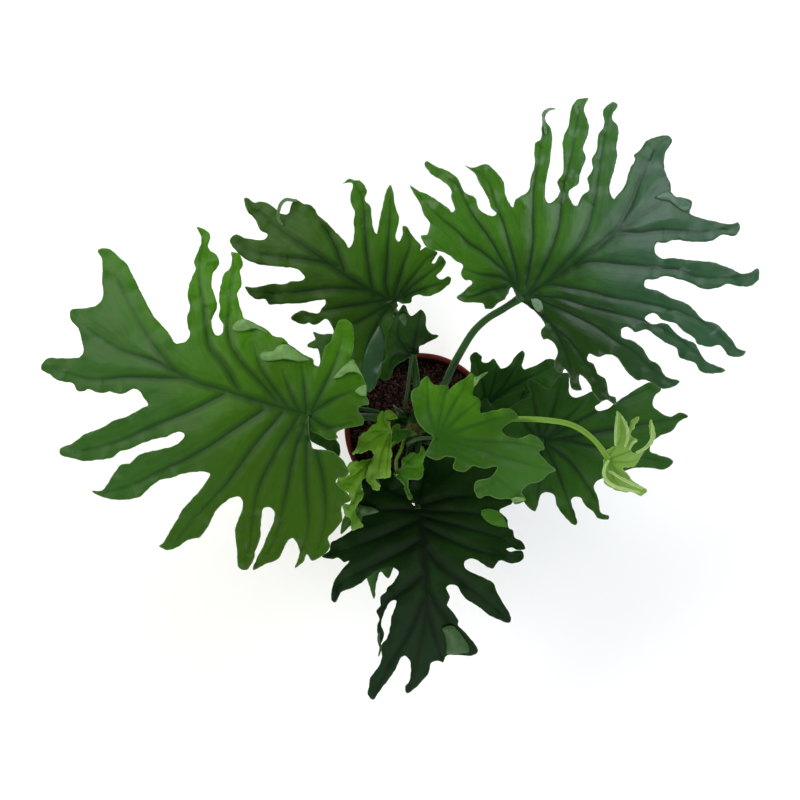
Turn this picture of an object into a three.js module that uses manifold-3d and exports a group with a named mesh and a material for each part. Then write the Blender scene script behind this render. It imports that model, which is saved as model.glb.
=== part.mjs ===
// A potted lacy tree philodendron seen from straight above: fourteen lobed leaves and one
// unfurling leaf on long stalks, all from one short stem in a round plastic pot of soil.
// Millimetres, +Z up. The origin is the middle of the pot's base, on the floor.

import * as THREE from "three";
import { mergeVertices } from "three/addons/utils/BufferGeometryUtils.js";
import Module from "manifold-3d";

const wasm = await Module();
wasm.setup();

// Pot, soil and stem
const rimRadius = 85;
const potHeight = 150;
const baseRadius = 61;
const wall = 1.8;
const floorThickness = 2.6;
const lipWidth = 5.6;
const lipDrop = 13;
const drainHoles = 6;
const drainRadius = 5;
const drainCircle = 42;
const soilDepth = 12;
const stemRadius = 10;
const stemTop = 36;
const stemBuried = 28;
const stemShoulder = 8;
const soilCrown = 1.5;
const gap = 0.3;

// Scale leaves at the foot of the stem
const scaleLeafRadius = 3.2;
const scaleLeafFoot = 2.6;

// Leaves and stalks
const bladeThickness = 1;
const gridStep = 26;
const outlineTolerance = 0.9;
const stalkSides = 8;
const stalkStep = 22;
const fewestSteps = 6;
const sheetMargin = 8;
const prismDepth = 600;
const cutHeight = 50;

// The leaves are drawn as an eye straight above sees them, in units of which the rim measures
// rimAcross. The three points are the eye's foot, the pot's middle and the stem's middle.
const rimAcross = 151;
const unit = (2 * rimRadius) / rimAcross;
const eyeHeight = 1300;
const eyePoint = [400, 400];
const potPoint = [419.8, 428.3];
const stemPoint = [413, 430];

// Each outline runs once round its leaf from the joint, as across and down pairs.
const outlines = {
  left: [
    [309, 413, 310, 418, 314, 427, 319, 433, 323, 437, 330, 440, 338, 438, 336, 433, 343, 429,
     358, 426, 363, 424],
    [364, 419, 361, 415, 358, 409, 360, 406, 369, 404, 368, 399, 366, 396, 367, 388, 364, 379,
     360, 371, 353, 359, 350, 359],
    [352, 353, 354, 345, 354, 337, 353, 328, 350, 322, 346, 319.5, 341, 319.5, 338, 322, 336, 327,
     333, 333, 331, 341, 327, 345, 324, 350, 322, 357, 320, 365, 317, 366],
    [314, 364, 313, 359, 306, 356, 295, 348, 289, 344, 283, 338, 278, 337, 274, 336, 266, 329,
     257, 324, 250, 321, 244, 318],
    [242, 312, 238, 300, 237, 295, 239, 290, 241.5, 285, 241, 278, 240, 271, 243, 265, 242, 260,
     239, 254, 231, 252, 232, 258, 231, 265, 229, 269.5, 225, 272, 223, 276, 220, 290, 219, 300,
     220, 307, 219, 317, 223, 325, 222, 333.5, 219, 335.5],
    [216, 335, 213, 331, 211.5, 324, 212, 318, 217, 308, 216, 300, 212, 287, 211.5, 280, 213, 273,
     217, 268, 219, 264, 218, 258, 215, 253, 210, 250, 208, 246, 210, 237, 209, 233, 205, 229.5,
     196.5, 227, 199, 232, 201, 237, 201, 243, 196, 256, 194, 262, 195.5, 269, 192, 277, 190, 282,
     187.5, 297, 190, 307, 187, 317, 188, 327, 190, 332, 189, 337, 186, 341, 181, 343],
    [176, 343.5, 173, 341, 168, 332, 160, 323, 155, 318, 149, 308, 141, 292, 136, 282, 131, 272,
     127, 264, 120, 258, 113, 251, 107, 248, 98, 250, 102, 260, 102, 280, 103, 296, 98, 304,
     87, 308, 71, 310, 71, 320, 78, 328, 82, 342, 83, 352, 80, 357, 72, 358],
    [60, 358, 47, 358.5, 41, 369, 50, 374.5, 57, 380, 68, 382.5, 73, 384, 78, 391, 84, 391,
     88, 389, 96, 392, 104, 393, 109, 391.5, 120, 394, 129, 391, 133, 389, 138, 390, 144, 398],
    [147.5, 405, 140, 409, 125, 417, 115, 420, 103, 427, 90, 432, 83, 435, 78, 439, 73, 443,
     60, 449, 60.5, 455, 72, 458, 83, 461, 98, 460, 106, 459, 112, 458, 119, 452, 130, 449,
     140, 444, 152, 440, 165, 437, 175, 432.5, 181, 432, 184.5, 435],
    [177, 444, 170, 447, 157, 450, 144, 453, 138, 455.5, 130, 463, 121, 465, 114, 473, 108, 483,
     101, 490.5, 92, 491, 102, 497, 118, 500, 134, 498.5, 141, 496, 150, 487, 160, 480, 170, 478,
     182, 474, 195, 472, 203, 471.5],
    [210, 474, 207, 480, 200, 490, 191, 500, 182, 510, 177, 520, 170, 531, 163, 543, 159, 546,
     167, 550, 178, 547, 188, 540, 200, 537, 208, 526, 216, 511, 225, 502, 235, 497],
    [240, 497, 243, 505, 239, 518, 235, 530, 237, 550, 239, 568, 247, 569.5, 253, 560, 256, 549,
     260, 538, 261, 522, 263, 509, 268, 507, 274, 511, 274, 520, 268, 534, 263, 546, 253, 569.5,
     266, 564, 278, 559, 283, 550, 289, 540],
    [293, 538.5, 299, 548, 299, 556, 295, 568, 303, 562, 307, 554, 312, 560.5, 322, 556, 330, 547,
     328, 538, 335, 530, 342, 520, 342, 506, 351, 500],
    [345, 491, 336, 483, 338, 478, 345, 477, 349, 473, 344, 462, 338, 455.5, 330, 450.5, 313, 448,
     311, 441, 309, 435, 308, 422]
  ],
  rear_left: [
    [398, 306, 394, 312, 392.5, 320, 387, 335, 385, 342, 387, 353, 386, 360, 382, 364, 380.5, 374,
     376, 384, 370, 392, 366, 390, 360, 378, 352, 362, 343, 347, 336, 338, 333.5, 332],
    [332, 327, 326, 319, 319, 323, 314, 325, 309, 322.5, 303, 324.5, 290.5, 318, 300, 311,
     310, 312.5, 318, 313, 322, 308, 325.5, 304, 325, 300],
    [320, 300, 304, 303, 290, 303.5, 275, 304.5, 269, 304.5, 265, 299.5, 254, 298.5, 245, 287,
     254, 287.5, 272, 284, 284, 284, 290, 281.5, 302, 280.5],
    [304.5, 277, 301, 272, 296, 269, 283, 267, 262, 265, 247, 260, 240, 255, 231, 244, 230, 240,
     232, 236, 236, 234.5, 247, 238.5, 259, 240, 264, 239.5, 267, 237],
    [267, 234, 260, 230, 257, 224, 255, 219, 248, 212, 244.5, 198, 248, 198, 254, 202.3,
     260, 201.3, 266, 202.5, 271, 205.5, 276, 209.5, 279, 213],
    [288, 214, 292, 203, 296, 199.5, 299, 201, 303, 203.5, 308, 204.5, 312, 206, 316, 210.5,
     318, 215, 326, 222, 336, 232, 345, 241.5, 348.5, 247.5],
    [352.5, 243, 354.3, 232, 353.5, 220, 354.5, 212, 350.5, 202, 350.5, 195, 352.5, 184,
     349, 182.2, 343, 183.5, 349, 179, 355, 180, 361, 181.5, 366.7, 190, 364.8, 200, 370, 206,
     371.8, 216, 373, 228, 376.7, 234],
    [379, 223, 382, 208, 385, 195, 390.2, 184.5, 393.3, 193, 395, 206, 398.7, 217, 397.5, 228,
     395.3, 236.5, 398.5, 242],
    [402.5, 234, 403, 226, 407, 227, 410, 232, 416, 240, 421, 246, 420.5, 250],
    [426, 247, 435, 250.5, 437.5, 253, 434, 259, 431.5, 263, 434.5, 263.5, 440, 255.5, 446, 262,
     441.5, 270, 436, 275.5],
    [440, 279.3, 449, 276.5, 451.5, 278.5, 449, 284, 440, 291.5, 428, 296.3, 418, 294.7, 412, 297,
     411, 302, 403, 303.5, 397, 301.5]
  ],
  rear_right: [
    [518, 299.5, 515, 293, 511.5, 287.5, 508.5, 293, 504, 299.5, 498, 303, 492, 308.5,
     485.5, 308.5, 483, 303.5, 470, 302.3, 462, 301.5, 456.5, 297.5, 463, 292, 472, 283,
     471, 280.5, 466, 280],
    [461, 275, 462.5, 265, 457, 261.5, 450, 256, 441, 251.5, 428, 248, 422, 240, 421, 235.5,
     427, 234.5, 428.8, 231],
    [429.5, 222, 424, 214.5, 420, 204, 412, 190, 409.8, 185, 417, 190, 430, 195.5, 443, 204.5,
     448, 207.5, 452, 212.5],
    [455, 208, 451.3, 199, 451.3, 190, 446, 183.5, 431, 173.5, 424.8, 164.5, 426.5, 161,
     436, 166.5, 448, 171, 458, 179, 465, 192.5, 475, 197.5, 479, 209, 493, 216],
    [497, 213, 491.5, 208, 488, 198, 481, 185, 473.5, 172, 465.3, 165.2, 471, 167.7, 486, 164.2,
     495, 170.5, 504, 183, 505, 193, 512.5, 207],
    [516, 199.5, 528.5, 190.5, 531, 178, 534.8, 164.5, 534.3, 148, 535, 143, 541, 139.5,
     541.7, 127, 543, 119, 542, 114, 548, 108, 555.5, 108.5, 549, 110.5, 545, 116, 546, 121,
     551.5, 130, 551, 152, 549, 167, 545.7, 184, 545.3, 198, 549, 203.3],
    [555, 200, 560, 191, 557.5, 182, 563, 173, 563.3, 152, 562.5, 141, 569, 124, 570.5, 111,
     576.5, 100, 588.5, 98.5, 584.5, 106, 584, 110.5, 588, 121, 588.5, 133, 583, 148.5, 586, 157,
     580, 174, 578, 184, 569.5, 190, 568.7, 195, 573, 204],
    [577, 205.3, 582.5, 195.5, 589.5, 189.5, 587.5, 179, 593.5, 168, 592, 160, 597, 149,
     598.3, 135, 603, 128, 604.5, 122, 603, 111, 613, 102, 618, 105, 613, 113, 612.5, 119,
     618.5, 128, 616.5, 148, 617.5, 155, 614, 170, 609.5, 189, 614, 199],
    [619.5, 192.5, 625.5, 184.5, 629.5, 170, 635.5, 158.5, 634.5, 155, 641, 149, 645.5, 141.5,
     656, 137, 668, 135.5, 672, 141, 665.5, 153, 664.8, 170, 670.5, 184, 672, 197],
    [681, 197, 691.5, 201, 692.3, 204, 690, 213, 695, 216, 711, 220.5, 731, 224, 738, 222.5,
     740, 228, 735, 236, 724, 234.5, 711, 241, 692, 241.5, 674, 240, 664, 243, 657, 243],
    [655, 251, 662, 258.5, 672, 258, 694, 260.5, 712, 262, 733, 269.5, 741, 273.7, 751, 272,
     758, 268.5, 759, 279, 751, 286, 739, 286.3, 728, 284, 718, 288, 704, 289, 690, 282.5,
     675, 278, 665, 276, 655, 279.5, 645, 280.5],
    [645, 287, 656, 290, 673, 298.5, 686, 303, 695, 311, 704, 320, 716, 323.5, 725, 332,
     732.5, 340, 737.5, 348.5, 746, 351.5, 741, 356.3, 729, 355.5, 720, 345.5, 710, 347, 698, 344,
     694, 338, 683, 331, 676, 323.5, 668, 321.8, 662, 319.5, 658, 315, 653, 313, 645, 318],
    [652, 324, 662, 322.8, 668, 324.5, 679, 336, 695, 343.5, 698.5, 350, 706, 360.5, 725.5, 370.5,
     710, 373.8, 700.5, 371, 695, 363, 679.5, 357, 676.8, 348.5, 664, 341.5, 654, 334, 646, 329.3,
     636, 332, 628.5, 327, 622, 329],
    [622, 337, 633, 341, 643.5, 349, 649, 358.8, 659, 365, 665.5, 376, 680, 381.5, 672, 387.5,
     660, 388, 646, 379.7, 637, 380, 628, 373, 615, 356, 607, 354.5, 598, 356.8, 589.5, 353.7],
    [587.5, 360, 594, 364.5, 597.5, 373.5, 605, 378.5, 609.8, 395, 615.5, 397.5, 616, 405,
     607, 400, 601, 401.5, 594, 394, 589.5, 384, 580, 374.5],
    [579, 379.5, 581.5, 390, 572, 389, 569, 375, 565, 369.5, 559, 373, 554.5, 365, 557.5, 352,
     553.5, 342.5, 547, 339, 543.5, 339.5, 541, 331, 545, 325],
    [541, 318, 532, 309, 524, 303, 519, 301]
  ],
  front: [
    [417, 507, 413.5, 505, 409.8, 500, 407, 493, 404.5, 485, 401, 479.5, 396, 476, 388, 473,
     376, 474, 366, 477, 361, 479, 363, 498],
    [358, 505, 362, 520, 351, 531, 338, 539, 331, 543, 329, 551, 322, 556.5, 332, 559, 338, 558,
     344, 562],
    [349, 561, 340.5, 572, 334.5, 580.5, 331.5, 592, 331.5, 600, 335, 602.5, 339.5, 595.5,
     342, 591.5, 350, 589, 361, 583, 368, 577, 379, 570.5, 394, 568],
    [398.5, 572, 392, 584, 387, 588, 386, 592, 380.5, 597, 380.5, 606, 376.5, 611, 379.5, 619,
     377, 627, 379, 638, 380.5, 643, 384, 635.5, 381, 625, 385.5, 610, 391, 601.5],
    [396, 601, 391.5, 617, 390, 627, 387, 638, 381, 647, 382, 656, 379, 666, 370, 678.5,
     368.5, 688, 367.5, 694, 373, 699.5, 381, 689, 394, 672, 401.5, 657.5],
    [405, 655.5, 409.8, 661, 410, 680, 405, 688, 407, 693, 421, 682.5, 429, 672, 431, 663.5,
     438, 660.8, 443, 662.5, 446, 656],
    [460, 655, 473, 655.5, 478, 651, 466.5, 634, 458, 625.5, 458.5, 621, 451, 610, 446.8, 605,
     449.5, 597, 446, 588],
    [451, 584.3, 456.5, 586, 464.5, 597.5, 480.5, 608, 489, 615, 509.5, 622.5, 511, 618,
     503.5, 604, 496.5, 591.5, 494, 584, 477.5, 575, 466.5, 569, 464, 564],
    [467, 560, 475, 559, 484, 565, 493, 568.5, 499.5, 560.8, 513, 563.5, 523, 559, 522.5, 551.5,
     517, 551, 510, 552],
    [506, 549, 511, 547.5, 518, 549.8, 525, 549, 522, 542, 515, 537.5, 513, 530.5, 508.5, 527.5,
     507.5, 520, 500, 510.5],
    [512, 503.5, 513, 500, 500, 496, 492, 490, 488, 484, 494, 477, 500, 470, 497, 465, 486, 462,
     470, 460.5, 455, 457, 440, 453, 428, 455, 420, 462, 414, 471, 411, 480, 410.6, 490,
     412.5, 499, 415, 504.5]
  ],
  right: [
    [540, 439, 532, 437.5, 520, 435.5, 509, 433.5, 502, 429, 500, 422, 503, 415, 510, 409,
     518, 405.5, 525, 401, 530, 397, 531.5, 393, 528, 387, 527.5, 381, 531, 378, 539, 383.5],
    [549, 388.5, 555.5, 381, 562, 373.5, 568, 373, 569, 385, 569.5, 393],
    [574, 397.5, 585, 394.5, 594, 391, 603, 393, 606, 398, 600, 403, 595, 407, 598, 410.5],
    [606, 409.5, 620, 399.5, 640, 387, 651, 382.5, 660, 387, 661, 390, 655, 395.5, 653, 405],
    [659, 411, 670, 416.8, 680, 412.5, 688, 416.5, 679, 421.5, 672, 431, 660, 436, 652, 443],
    [650, 451, 659, 455, 671, 459, 673, 462, 666, 469, 650, 468, 634, 468, 618, 474],
    [600, 479.5, 594, 485, 598.5, 500, 601, 513, 609, 516, 608, 519.5, 598, 518, 593, 511,
     584.5, 505, 581, 498],
    [574, 497.5, 571, 500, 574, 511, 577, 523, 575, 525, 563, 515, 556.5, 504, 555, 496],
    [548, 492.5, 541.5, 494, 537.5, 506, 535, 511, 527, 506, 521, 496],
    [512, 484, 507, 470, 504, 458, 503, 448, 508, 441.5, 517, 440, 528, 441]
  ],
  middle: [
    [433, 437, 426, 431.5, 417, 421, 413, 407, 411, 394, 413, 389.5, 419.5, 386, 421, 381,
     427, 376, 431, 382, 434, 385, 448, 386, 449, 390],
    [455, 384, 464, 379, 471, 373.5, 479, 377, 488, 371.5, 480, 379, 474, 388, 473, 395],
    [480, 400, 480.5, 410, 481, 413],
    [491, 411, 507, 408.5, 514, 411, 519, 418, 514, 420.5, 504, 427, 501.5, 431],
    [509, 437, 521, 438, 531, 434.5, 540, 439.5, 544.5, 449.5, 539, 451.5],
    [549, 464, 556, 470, 549, 474, 541, 481, 528, 485, 522, 492, 526, 500, 515, 504],
    [510, 499, 497, 499, 488, 495.5, 478.5, 498, 474, 487, 477, 481, 491, 477, 497, 467],
    [484, 468.5, 474, 466, 464, 472, 453, 468, 455, 459],
    [446, 456.5, 438, 460, 425.5, 454.5, 429, 446]
  ],
  rear_small: [
    [484, 408, 476, 403, 472, 392, 470, 378, 470.5, 364, 470, 357, 475, 352, 481.5, 356, 482, 361],
    [488, 362.5, 493.5, 358.8, 498.5, 365, 501, 368.6],
    [510, 364.5, 514, 358, 522.5, 350.5, 525, 353, 522, 366, 524.5, 369],
    [540, 363, 547, 359, 556, 360, 564, 366, 560, 377, 550, 389, 536, 397, 522, 402, 508, 410,
     494, 411]
  ],
  inner_rear: [
    [410, 357, 404, 361, 395, 367, 389, 379.5, 381, 378, 378, 364, 379, 352, 380, 342, 383, 331,
     388, 322.5, 393, 317.5, 399, 311, 403, 304.5, 405.5, 306, 409, 314],
    [412, 316, 421, 310, 426, 317, 426.5, 328],
    [432, 334, 438.5, 336, 426, 343.5, 419, 347, 419, 354]
  ],
  under_left: [
    [356, 407, 351, 394, 346, 380, 341, 365, 336, 350, 333, 334.5, 322, 334.5, 313, 332,
     315.5, 339, 308, 343.5, 307.5, 346.5, 313, 348.3],
    [317.5, 349, 320, 361, 313, 382, 301, 394, 303, 405, 306, 413],
    [307, 422, 310, 440, 322, 447, 339, 456, 340, 447],
    [336, 437, 342, 424, 352, 414]
  ],
  under_front: [
    [384, 497, 372, 492, 360, 496, 350, 508, 343, 519, 341, 534.5, 351, 526],
    [356, 531, 358, 550, 363, 568, 369, 585, 374, 599, 377, 580],
    [381, 572, 388, 578.5, 393, 569, 399, 552, 404, 534, 404, 514, 396, 502]
  ],
  young_centre: [
    [391, 428, 389, 421.5, 385.5, 417, 384, 411.5, 381.5, 410.8, 379, 413, 377, 419, 377, 423.5,
     370, 426, 366.5, 431.5, 361, 434.5, 358, 438, 357.5, 445, 353, 454, 363, 452, 371.5, 450.5],
    [372.5, 459, 368, 468, 366, 479, 371, 486, 376, 491, 379.5, 490, 379.5, 485.5, 375, 479.5,
     382, 478, 390, 477.5, 391, 466, 391.8, 450, 391.8, 437]
  ],
  young_left: [
    [373, 459, 362, 461, 352, 462, 347, 467, 349, 475, 338, 478, 338, 488, 348, 493, 350, 503],
    [343, 505, 345, 515, 350, 520, 352, 530, 363, 526, 357, 517, 357, 504, 363, 498, 362, 480,
     369, 476, 371, 467]
  ],
  young_right: [
    [395, 471, 401, 467.5, 402.5, 458, 406, 455, 410, 453, 413, 452, 416.5, 454, 419, 453,
     421, 446.5, 424, 449, 425, 456, 424, 461, 424.3, 470, 422, 477, 418, 479.5, 409, 480.5],
    [409, 490, 411.3, 496, 411, 499.5, 408.5, 499, 405.5, 493, 403.5, 485, 400, 480.5,
     395.5, 477, 393.5, 474]
  ],
  young_inner: [
    [393, 426, 397, 424.5, 400, 425.5, 400.5, 429.5, 405, 429.5, 409.5, 428, 412, 431,
     418.5, 434.5, 412, 436, 406, 437.5, 404, 440.5, 400, 441.5, 398, 444, 396, 442, 393, 441.5]
  ],
  unfurling: [
    [606, 452, 611, 447, 616.5, 446, 615.5, 432, 615.5, 420, 616.5, 411, 621, 415, 627, 422],
    [628.5, 430, 631, 421, 638.5, 417, 635.5, 425],
    [631.5, 434, 637.5, 441, 632, 443],
    [631, 449, 636, 454, 641, 449, 648, 445, 650, 436, 649, 424, 651, 420, 654, 427, 655.5, 438,
     652, 444, 645, 450],
    [641, 457, 636, 465, 624, 468],
    [630, 477, 638, 484, 648, 491.5, 641, 496, 634, 493, 622, 492, 612, 488, 605, 483, 602.5, 475,
     604, 464]
  ],
};

// Where each leaf joins its stalk, the end of its middle lobe and its height above the rim at the
// joint. The last four say in mm how the leaf leaves the level over one length of its middle lobe:
// slope and bend along it, roll and cup across it.
const leaves = {
  left: { joint: [309, 413], tip: [41, 369], rise: 190, along: -20, bend: -60, roll: 8, cup: -60 },
  rear_left: { joint: [391, 301], tip: [246, 199], rise: 150, along: -5, bend: -35, roll: -10, cup: -30 },
  rear_right: { joint: [520, 298], tip: [690, 203], rise: 230, along: -10, bend: -50, roll: 10, cup: -50 },
  front: { joint: [418, 506], tip: [408, 692], rise: 95, along: -15, bend: -85, roll: -8, cup: -40 },
  right: { joint: [541, 441], tip: [688, 416.5], rise: 75, along: 0, bend: -60, roll: 8, cup: -40 },
  middle: { joint: [435, 438], tip: [556, 470], rise: 160, along: -5, bend: -20, roll: -6, cup: -10 },
  rear_small: { joint: [486, 404], tip: [552, 362], rise: 40, along: 0, bend: -15, roll: 4, cup: -10 },
  inner_rear: { joint: [412, 356], tip: [420, 311], rise: 100, along: 15, bend: 5, roll: 3, cup: -5 },
  under_left: { joint: [356, 410], tip: [306, 349], rise: 42, along: -5, bend: -20, roll: -4, cup: -10 },
  under_front: { joint: [387, 500], tip: [374, 599], rise: 18, along: -10, bend: -40, roll: 5, cup: -10 },
  young_centre: { joint: [390, 430], tip: [353, 454.5], rise: 130, along: -5, bend: -8, roll: 3, cup: -6 },
  young_left: { joint: [373, 461], tip: [352, 530], rise: 112, along: -5, bend: -10, roll: -3, cup: 0 },
  young_right: { joint: [396, 473], tip: [410, 500], rise: 125, along: -5, bend: 0, roll: 2, cup: 0 },
  young_inner: { joint: [396, 431], tip: [418, 434], rise: 100, along: 0, bend: 0, roll: 1, cup: 0 },
  unfurling: { joint: [607, 457], tip: [645, 492], rise: 148, along: 4, bend: -6, roll: 2, cup: 12 },
};

// Each stalk: its angle round the stem, its height there, its radius, and the points that it
// passes on its way to the joint, as drawing point and height above the rim.
const stalks = {
  left: { angle: 140, root: 14, radius: 4.2,
    route: [[392, 419.5, 36], [375, 417.5, 80], [345, 416, 135], [320, 414, 175]] },
  rear_left: { angle: 90, root: 27, radius: 3.8,
    route: [[418, 405, 55], [417, 390, 76], [414, 362, 88], [405, 333, 90], [396, 314, 108]] },
  rear_right: { angle: 30, root: 27, radius: 4,
    route: [[432, 408, 65], [443, 388, 105], [452, 368, 128], [463, 348, 150], [474, 331, 170],
      [488, 318, 190], [503, 309, 208]] },
  front: { angle: -70, root: 14, radius: 3.4, route: [[417, 460, 58], [417, 485, 82]] },
  right: { angle: -8, root: 2, radius: 3.4, route: [[450, 438, 28], [490, 443, 54], [525, 442, 68]] },
  middle: { angle: -110, root: 27, radius: 2.1,
    route: [[409, 443, 85], [414, 440.5, 128], [424, 438, 149]] },
  rear_small: { angle: 25, root: 2, radius: 2.4, route: [[445, 416, 18], [470, 408, 31]] },
  inner_rear: { angle: 105, root: 14, radius: 2.3, route: [[405, 410, 40], [408, 388, 75]] },
  under_left: { angle: 165, root: 2, radius: 2.4, route: [[385, 415, 20], [370, 410, 33]] },
  under_front: { angle: -100, root: 2, radius: 2.3, route: [[402, 470, 8], [392, 490, 13]] },
  young_centre: { angle: 195, root: 20, radius: 1.7, route: [[394, 434, 60], [390, 432.5, 105]] },
  young_left: { angle: -150, root: 2, radius: 1.8, route: [[392, 445, 45], [382, 454, 84]] },
  young_right: { angle: -130, root: 14, radius: 1.8, route: [[401, 450, 65], [396, 462, 104]] },
  young_inner: { angle: 180, root: 30, radius: 1.5, route: [[397, 430, 60], [396, 430.5, 86]] },
  unfurling: { angle: 10, root: 14, radius: 3.1,
    route: [[445, 422, 60], [480, 418, 105], [520, 419, 127], [545, 420, 138], [572, 425, 143],
      [592, 438, 145]] },
};

// A drawn point at a height above the rim becomes a point of the model.
function place(u, v, rise) {
  const scale = (unit * (eyeHeight - rise)) / eyeHeight;
  const x = (eyePoint[0] - potPoint[0]) * unit + (u - eyePoint[0]) * scale;
  const y = (potPoint[1] - eyePoint[1]) * unit - (v - eyePoint[1]) * scale;
  return new THREE.Vector3(x, y, potHeight + rise);
}

// Height of a leaf above the rim at a drawn point
function riseAt(leaf, u, v) {
  const length = Math.hypot(leaf.tip[0] - leaf.joint[0], leaf.tip[1] - leaf.joint[1]);
  const axis = [(leaf.tip[0] - leaf.joint[0]) / length, (leaf.tip[1] - leaf.joint[1]) / length];
  const du = (u - leaf.joint[0]) / length;
  const dv = (v - leaf.joint[1]) / length;
  const s = du * axis[0] + dv * axis[1];
  const t = du * axis[1] - dv * axis[0];
  return leaf.rise + leaf.along * s + leaf.bend * s * s + leaf.roll * t + leaf.cup * t * t;
}

// Pairs of an outline's rows as points, with y upwards
function toPoints(rows) {
  const flat = rows.flat();
  const points = [];
  for (let i = 0; i < flat.length; i += 2) {
    points.push(new THREE.Vector2(flat[i], -flat[i + 1]));
  }
  return points;
}

// Leaves out the points that lie within a tolerance of the line between their neighbours.
function thin(points, tolerance) {
  if (points.length < 3) {
    return points;
  }
  const first = points[0];
  const last = points[points.length - 1];
  const along = last.clone().sub(first);
  let worst = 0;
  let at = 0;
  for (let i = 1; i < points.length - 1; i++) {
    const off = points[i].clone().sub(first);
    const distance = along.length() > 0 ? Math.abs(along.cross(off)) / along.length() : off.length();
    if (distance > worst) {
      worst = distance;
      at = i;
    }
  }
  if (worst < tolerance) {
    return [first, last];
  }
  const head = thin(points.slice(0, at + 1), tolerance);
  return head.slice(0, -1).concat(thin(points.slice(at), tolerance));
}

function toSolid(geometry) {
  const bare = geometry.index ? geometry.clone() : geometry;
  bare.deleteAttribute("normal");
  bare.deleteAttribute("uv");
  const merged = mergeVertices(bare, 1e-4);
  return new wasm.Manifold(new wasm.Mesh({
    numProp: 3,
    vertProperties: new Float32Array(merged.attributes.position.array),
    triVerts: new Uint32Array(merged.index.array),
  }));
}

function toGeometry(solid) {
  const mesh = solid.getMesh();
  const geometry = new THREE.BufferGeometry();
  geometry.setAttribute("position", new THREE.BufferAttribute(new Float32Array(mesh.vertProperties), 3));
  geometry.setIndex(Array.from(mesh.triVerts));
  return geometry;
}

// The outline of a leaf as drawn, without the points that its plain solid can do without
function outlineOf(name) {
  const points = toPoints(outlines[name]);
  const middle = Math.floor(points.length / 2);
  const halves = [points.slice(0, middle + 1), points.slice(middle).concat([points[0]])];
  return halves.flatMap((half) => thin(half, outlineTolerance).slice(0, -1));
}

// A curved sheet over the whole leaf, from one offset to another above the leaf's own height
function sheet(name, from, to) {
  const box = new THREE.Box2().setFromPoints(outlineOf(name)).expandByScalar(sheetMargin);
  const size = box.getSize(new THREE.Vector2());
  const middle = box.getCenter(new THREE.Vector2());
  const cells = [Math.ceil(size.x / gridStep), Math.ceil(size.y / gridStep)];
  const geometry = new THREE.BoxGeometry(size.x, size.y, 2, cells[0], cells[1], 1);
  const position = geometry.attributes.position;
  for (let i = 0; i < position.count; i++) {
    const u = position.getX(i) + middle.x;
    const y = position.getY(i) + middle.y;
    const offset = position.getZ(i) > 0 ? to : from;
    position.setXYZ(i, u, y, riseAt(leaves[name], u, -y) + offset);
  }
  return toSolid(geometry);
}

function drawnToModel(solid) {
  const geometry = toGeometry(solid);
  const position = geometry.attributes.position;
  for (let i = 0; i < position.count; i++) {
    const point = place(position.getX(i), -position.getY(i), position.getZ(i));
    position.setXYZ(i, point.x, point.y, point.z);
  }
  return geometry;
}

// A leaf blade: the outline cut from the leaf's sheet
function blade(name) {
  const outline = new THREE.Shape(outlineOf(name));
  const prism = new THREE.ExtrudeGeometry(outline, { depth: prismDepth, bevelEnabled: false });
  prism.translate(0, 0, -prismDepth / 3);
  const half = bladeThickness / 2;
  return drawnToModel(sheet(name, -half, half).intersect(toSolid(prism)));
}

// A stalk from the side of the stem to the underside of its leaf, with a gap at both ends
function stalk(name) {
  const { angle, root, radius, route } = stalks[name];
  const leaf = leaves[name];
  const turn = THREE.MathUtils.degToRad(angle);
  const out = new THREE.Vector3(Math.cos(turn), Math.sin(turn), 0);
  const axis = place(stemPoint[0], stemPoint[1], 0);
  const start = axis.clone().setZ(potHeight + root).addScaledVector(out, stemRadius - radius);
  const lead = start.clone().addScaledVector(out, 2 * radius + 2).add(new THREE.Vector3(0, 0, 2));
  const length = Math.hypot(leaf.tip[0] - leaf.joint[0], leaf.tip[1] - leaf.joint[1]);
  const inset = Math.min(3, length / 10) / length;
  const u = leaf.joint[0] + (leaf.tip[0] - leaf.joint[0]) * inset;
  const v = leaf.joint[1] + (leaf.tip[1] - leaf.joint[1]) * inset;
  const end = place(u, v, riseAt(leaf, u, v) + 1);
  const path = new THREE.CatmullRomCurve3([start, lead, ...route.map((p) => place(...p)), end]);
  const round = new THREE.EllipseCurve(0, 0, radius, radius).getPoints(stalkSides);
  const section = new THREE.Shape(round.slice(1));
  const steps = Math.max(fewestSteps, Math.round(path.getLength() / stalkStep));
  const tube = new THREE.ExtrudeGeometry(section, { steps, extrudePath: path, bevelEnabled: false });
  const above = toSolid(drawnToModel(sheet(name, -bladeThickness / 2 - gap, cutHeight)));
  return toGeometry(toSolid(tube).subtract(above).subtract(toSolid(stemShape(gap))));
}

// A turned shape from radius and height pairs, standing up
function lathe(profile, sides) {
  const points = profile.map(([radius, height]) => new THREE.Vector2(radius, height));
  return new THREE.LatheGeometry(points, sides).rotateX(Math.PI / 2);
}

// A round pot with a turned-down lip and drain holes
function pot() {
  const top = potHeight;
  const inner = rimRadius - lipWidth;
  const shell = lathe([
    [0, 0], [baseRadius, 0], [inner + wall, top - lipDrop], [inner + wall, top - wall],
    [rimRadius - wall, top - wall], [rimRadius - wall, top - lipDrop], [rimRadius, top - lipDrop],
    [rimRadius, top - 1], [rimRadius - 1, top], [inner + 0.6, top], [inner, top - 0.6],
    [inner, top - lipDrop], [baseRadius - wall, floorThickness], [0, floorThickness],
  ], 56);
  let solid = toSolid(shell);
  for (let i = 0; i < drainHoles; i++) {
    const turn = (2 * Math.PI * i) / drainHoles;
    const hole = new THREE.CylinderGeometry(drainRadius, drainRadius, 20, 16).rotateX(Math.PI / 2);
    hole.translate(drainCircle * Math.cos(turn), drainCircle * Math.sin(turn), 0);
    solid = solid.subtract(toSolid(hole));
  }
  return toGeometry(solid);
}

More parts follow.
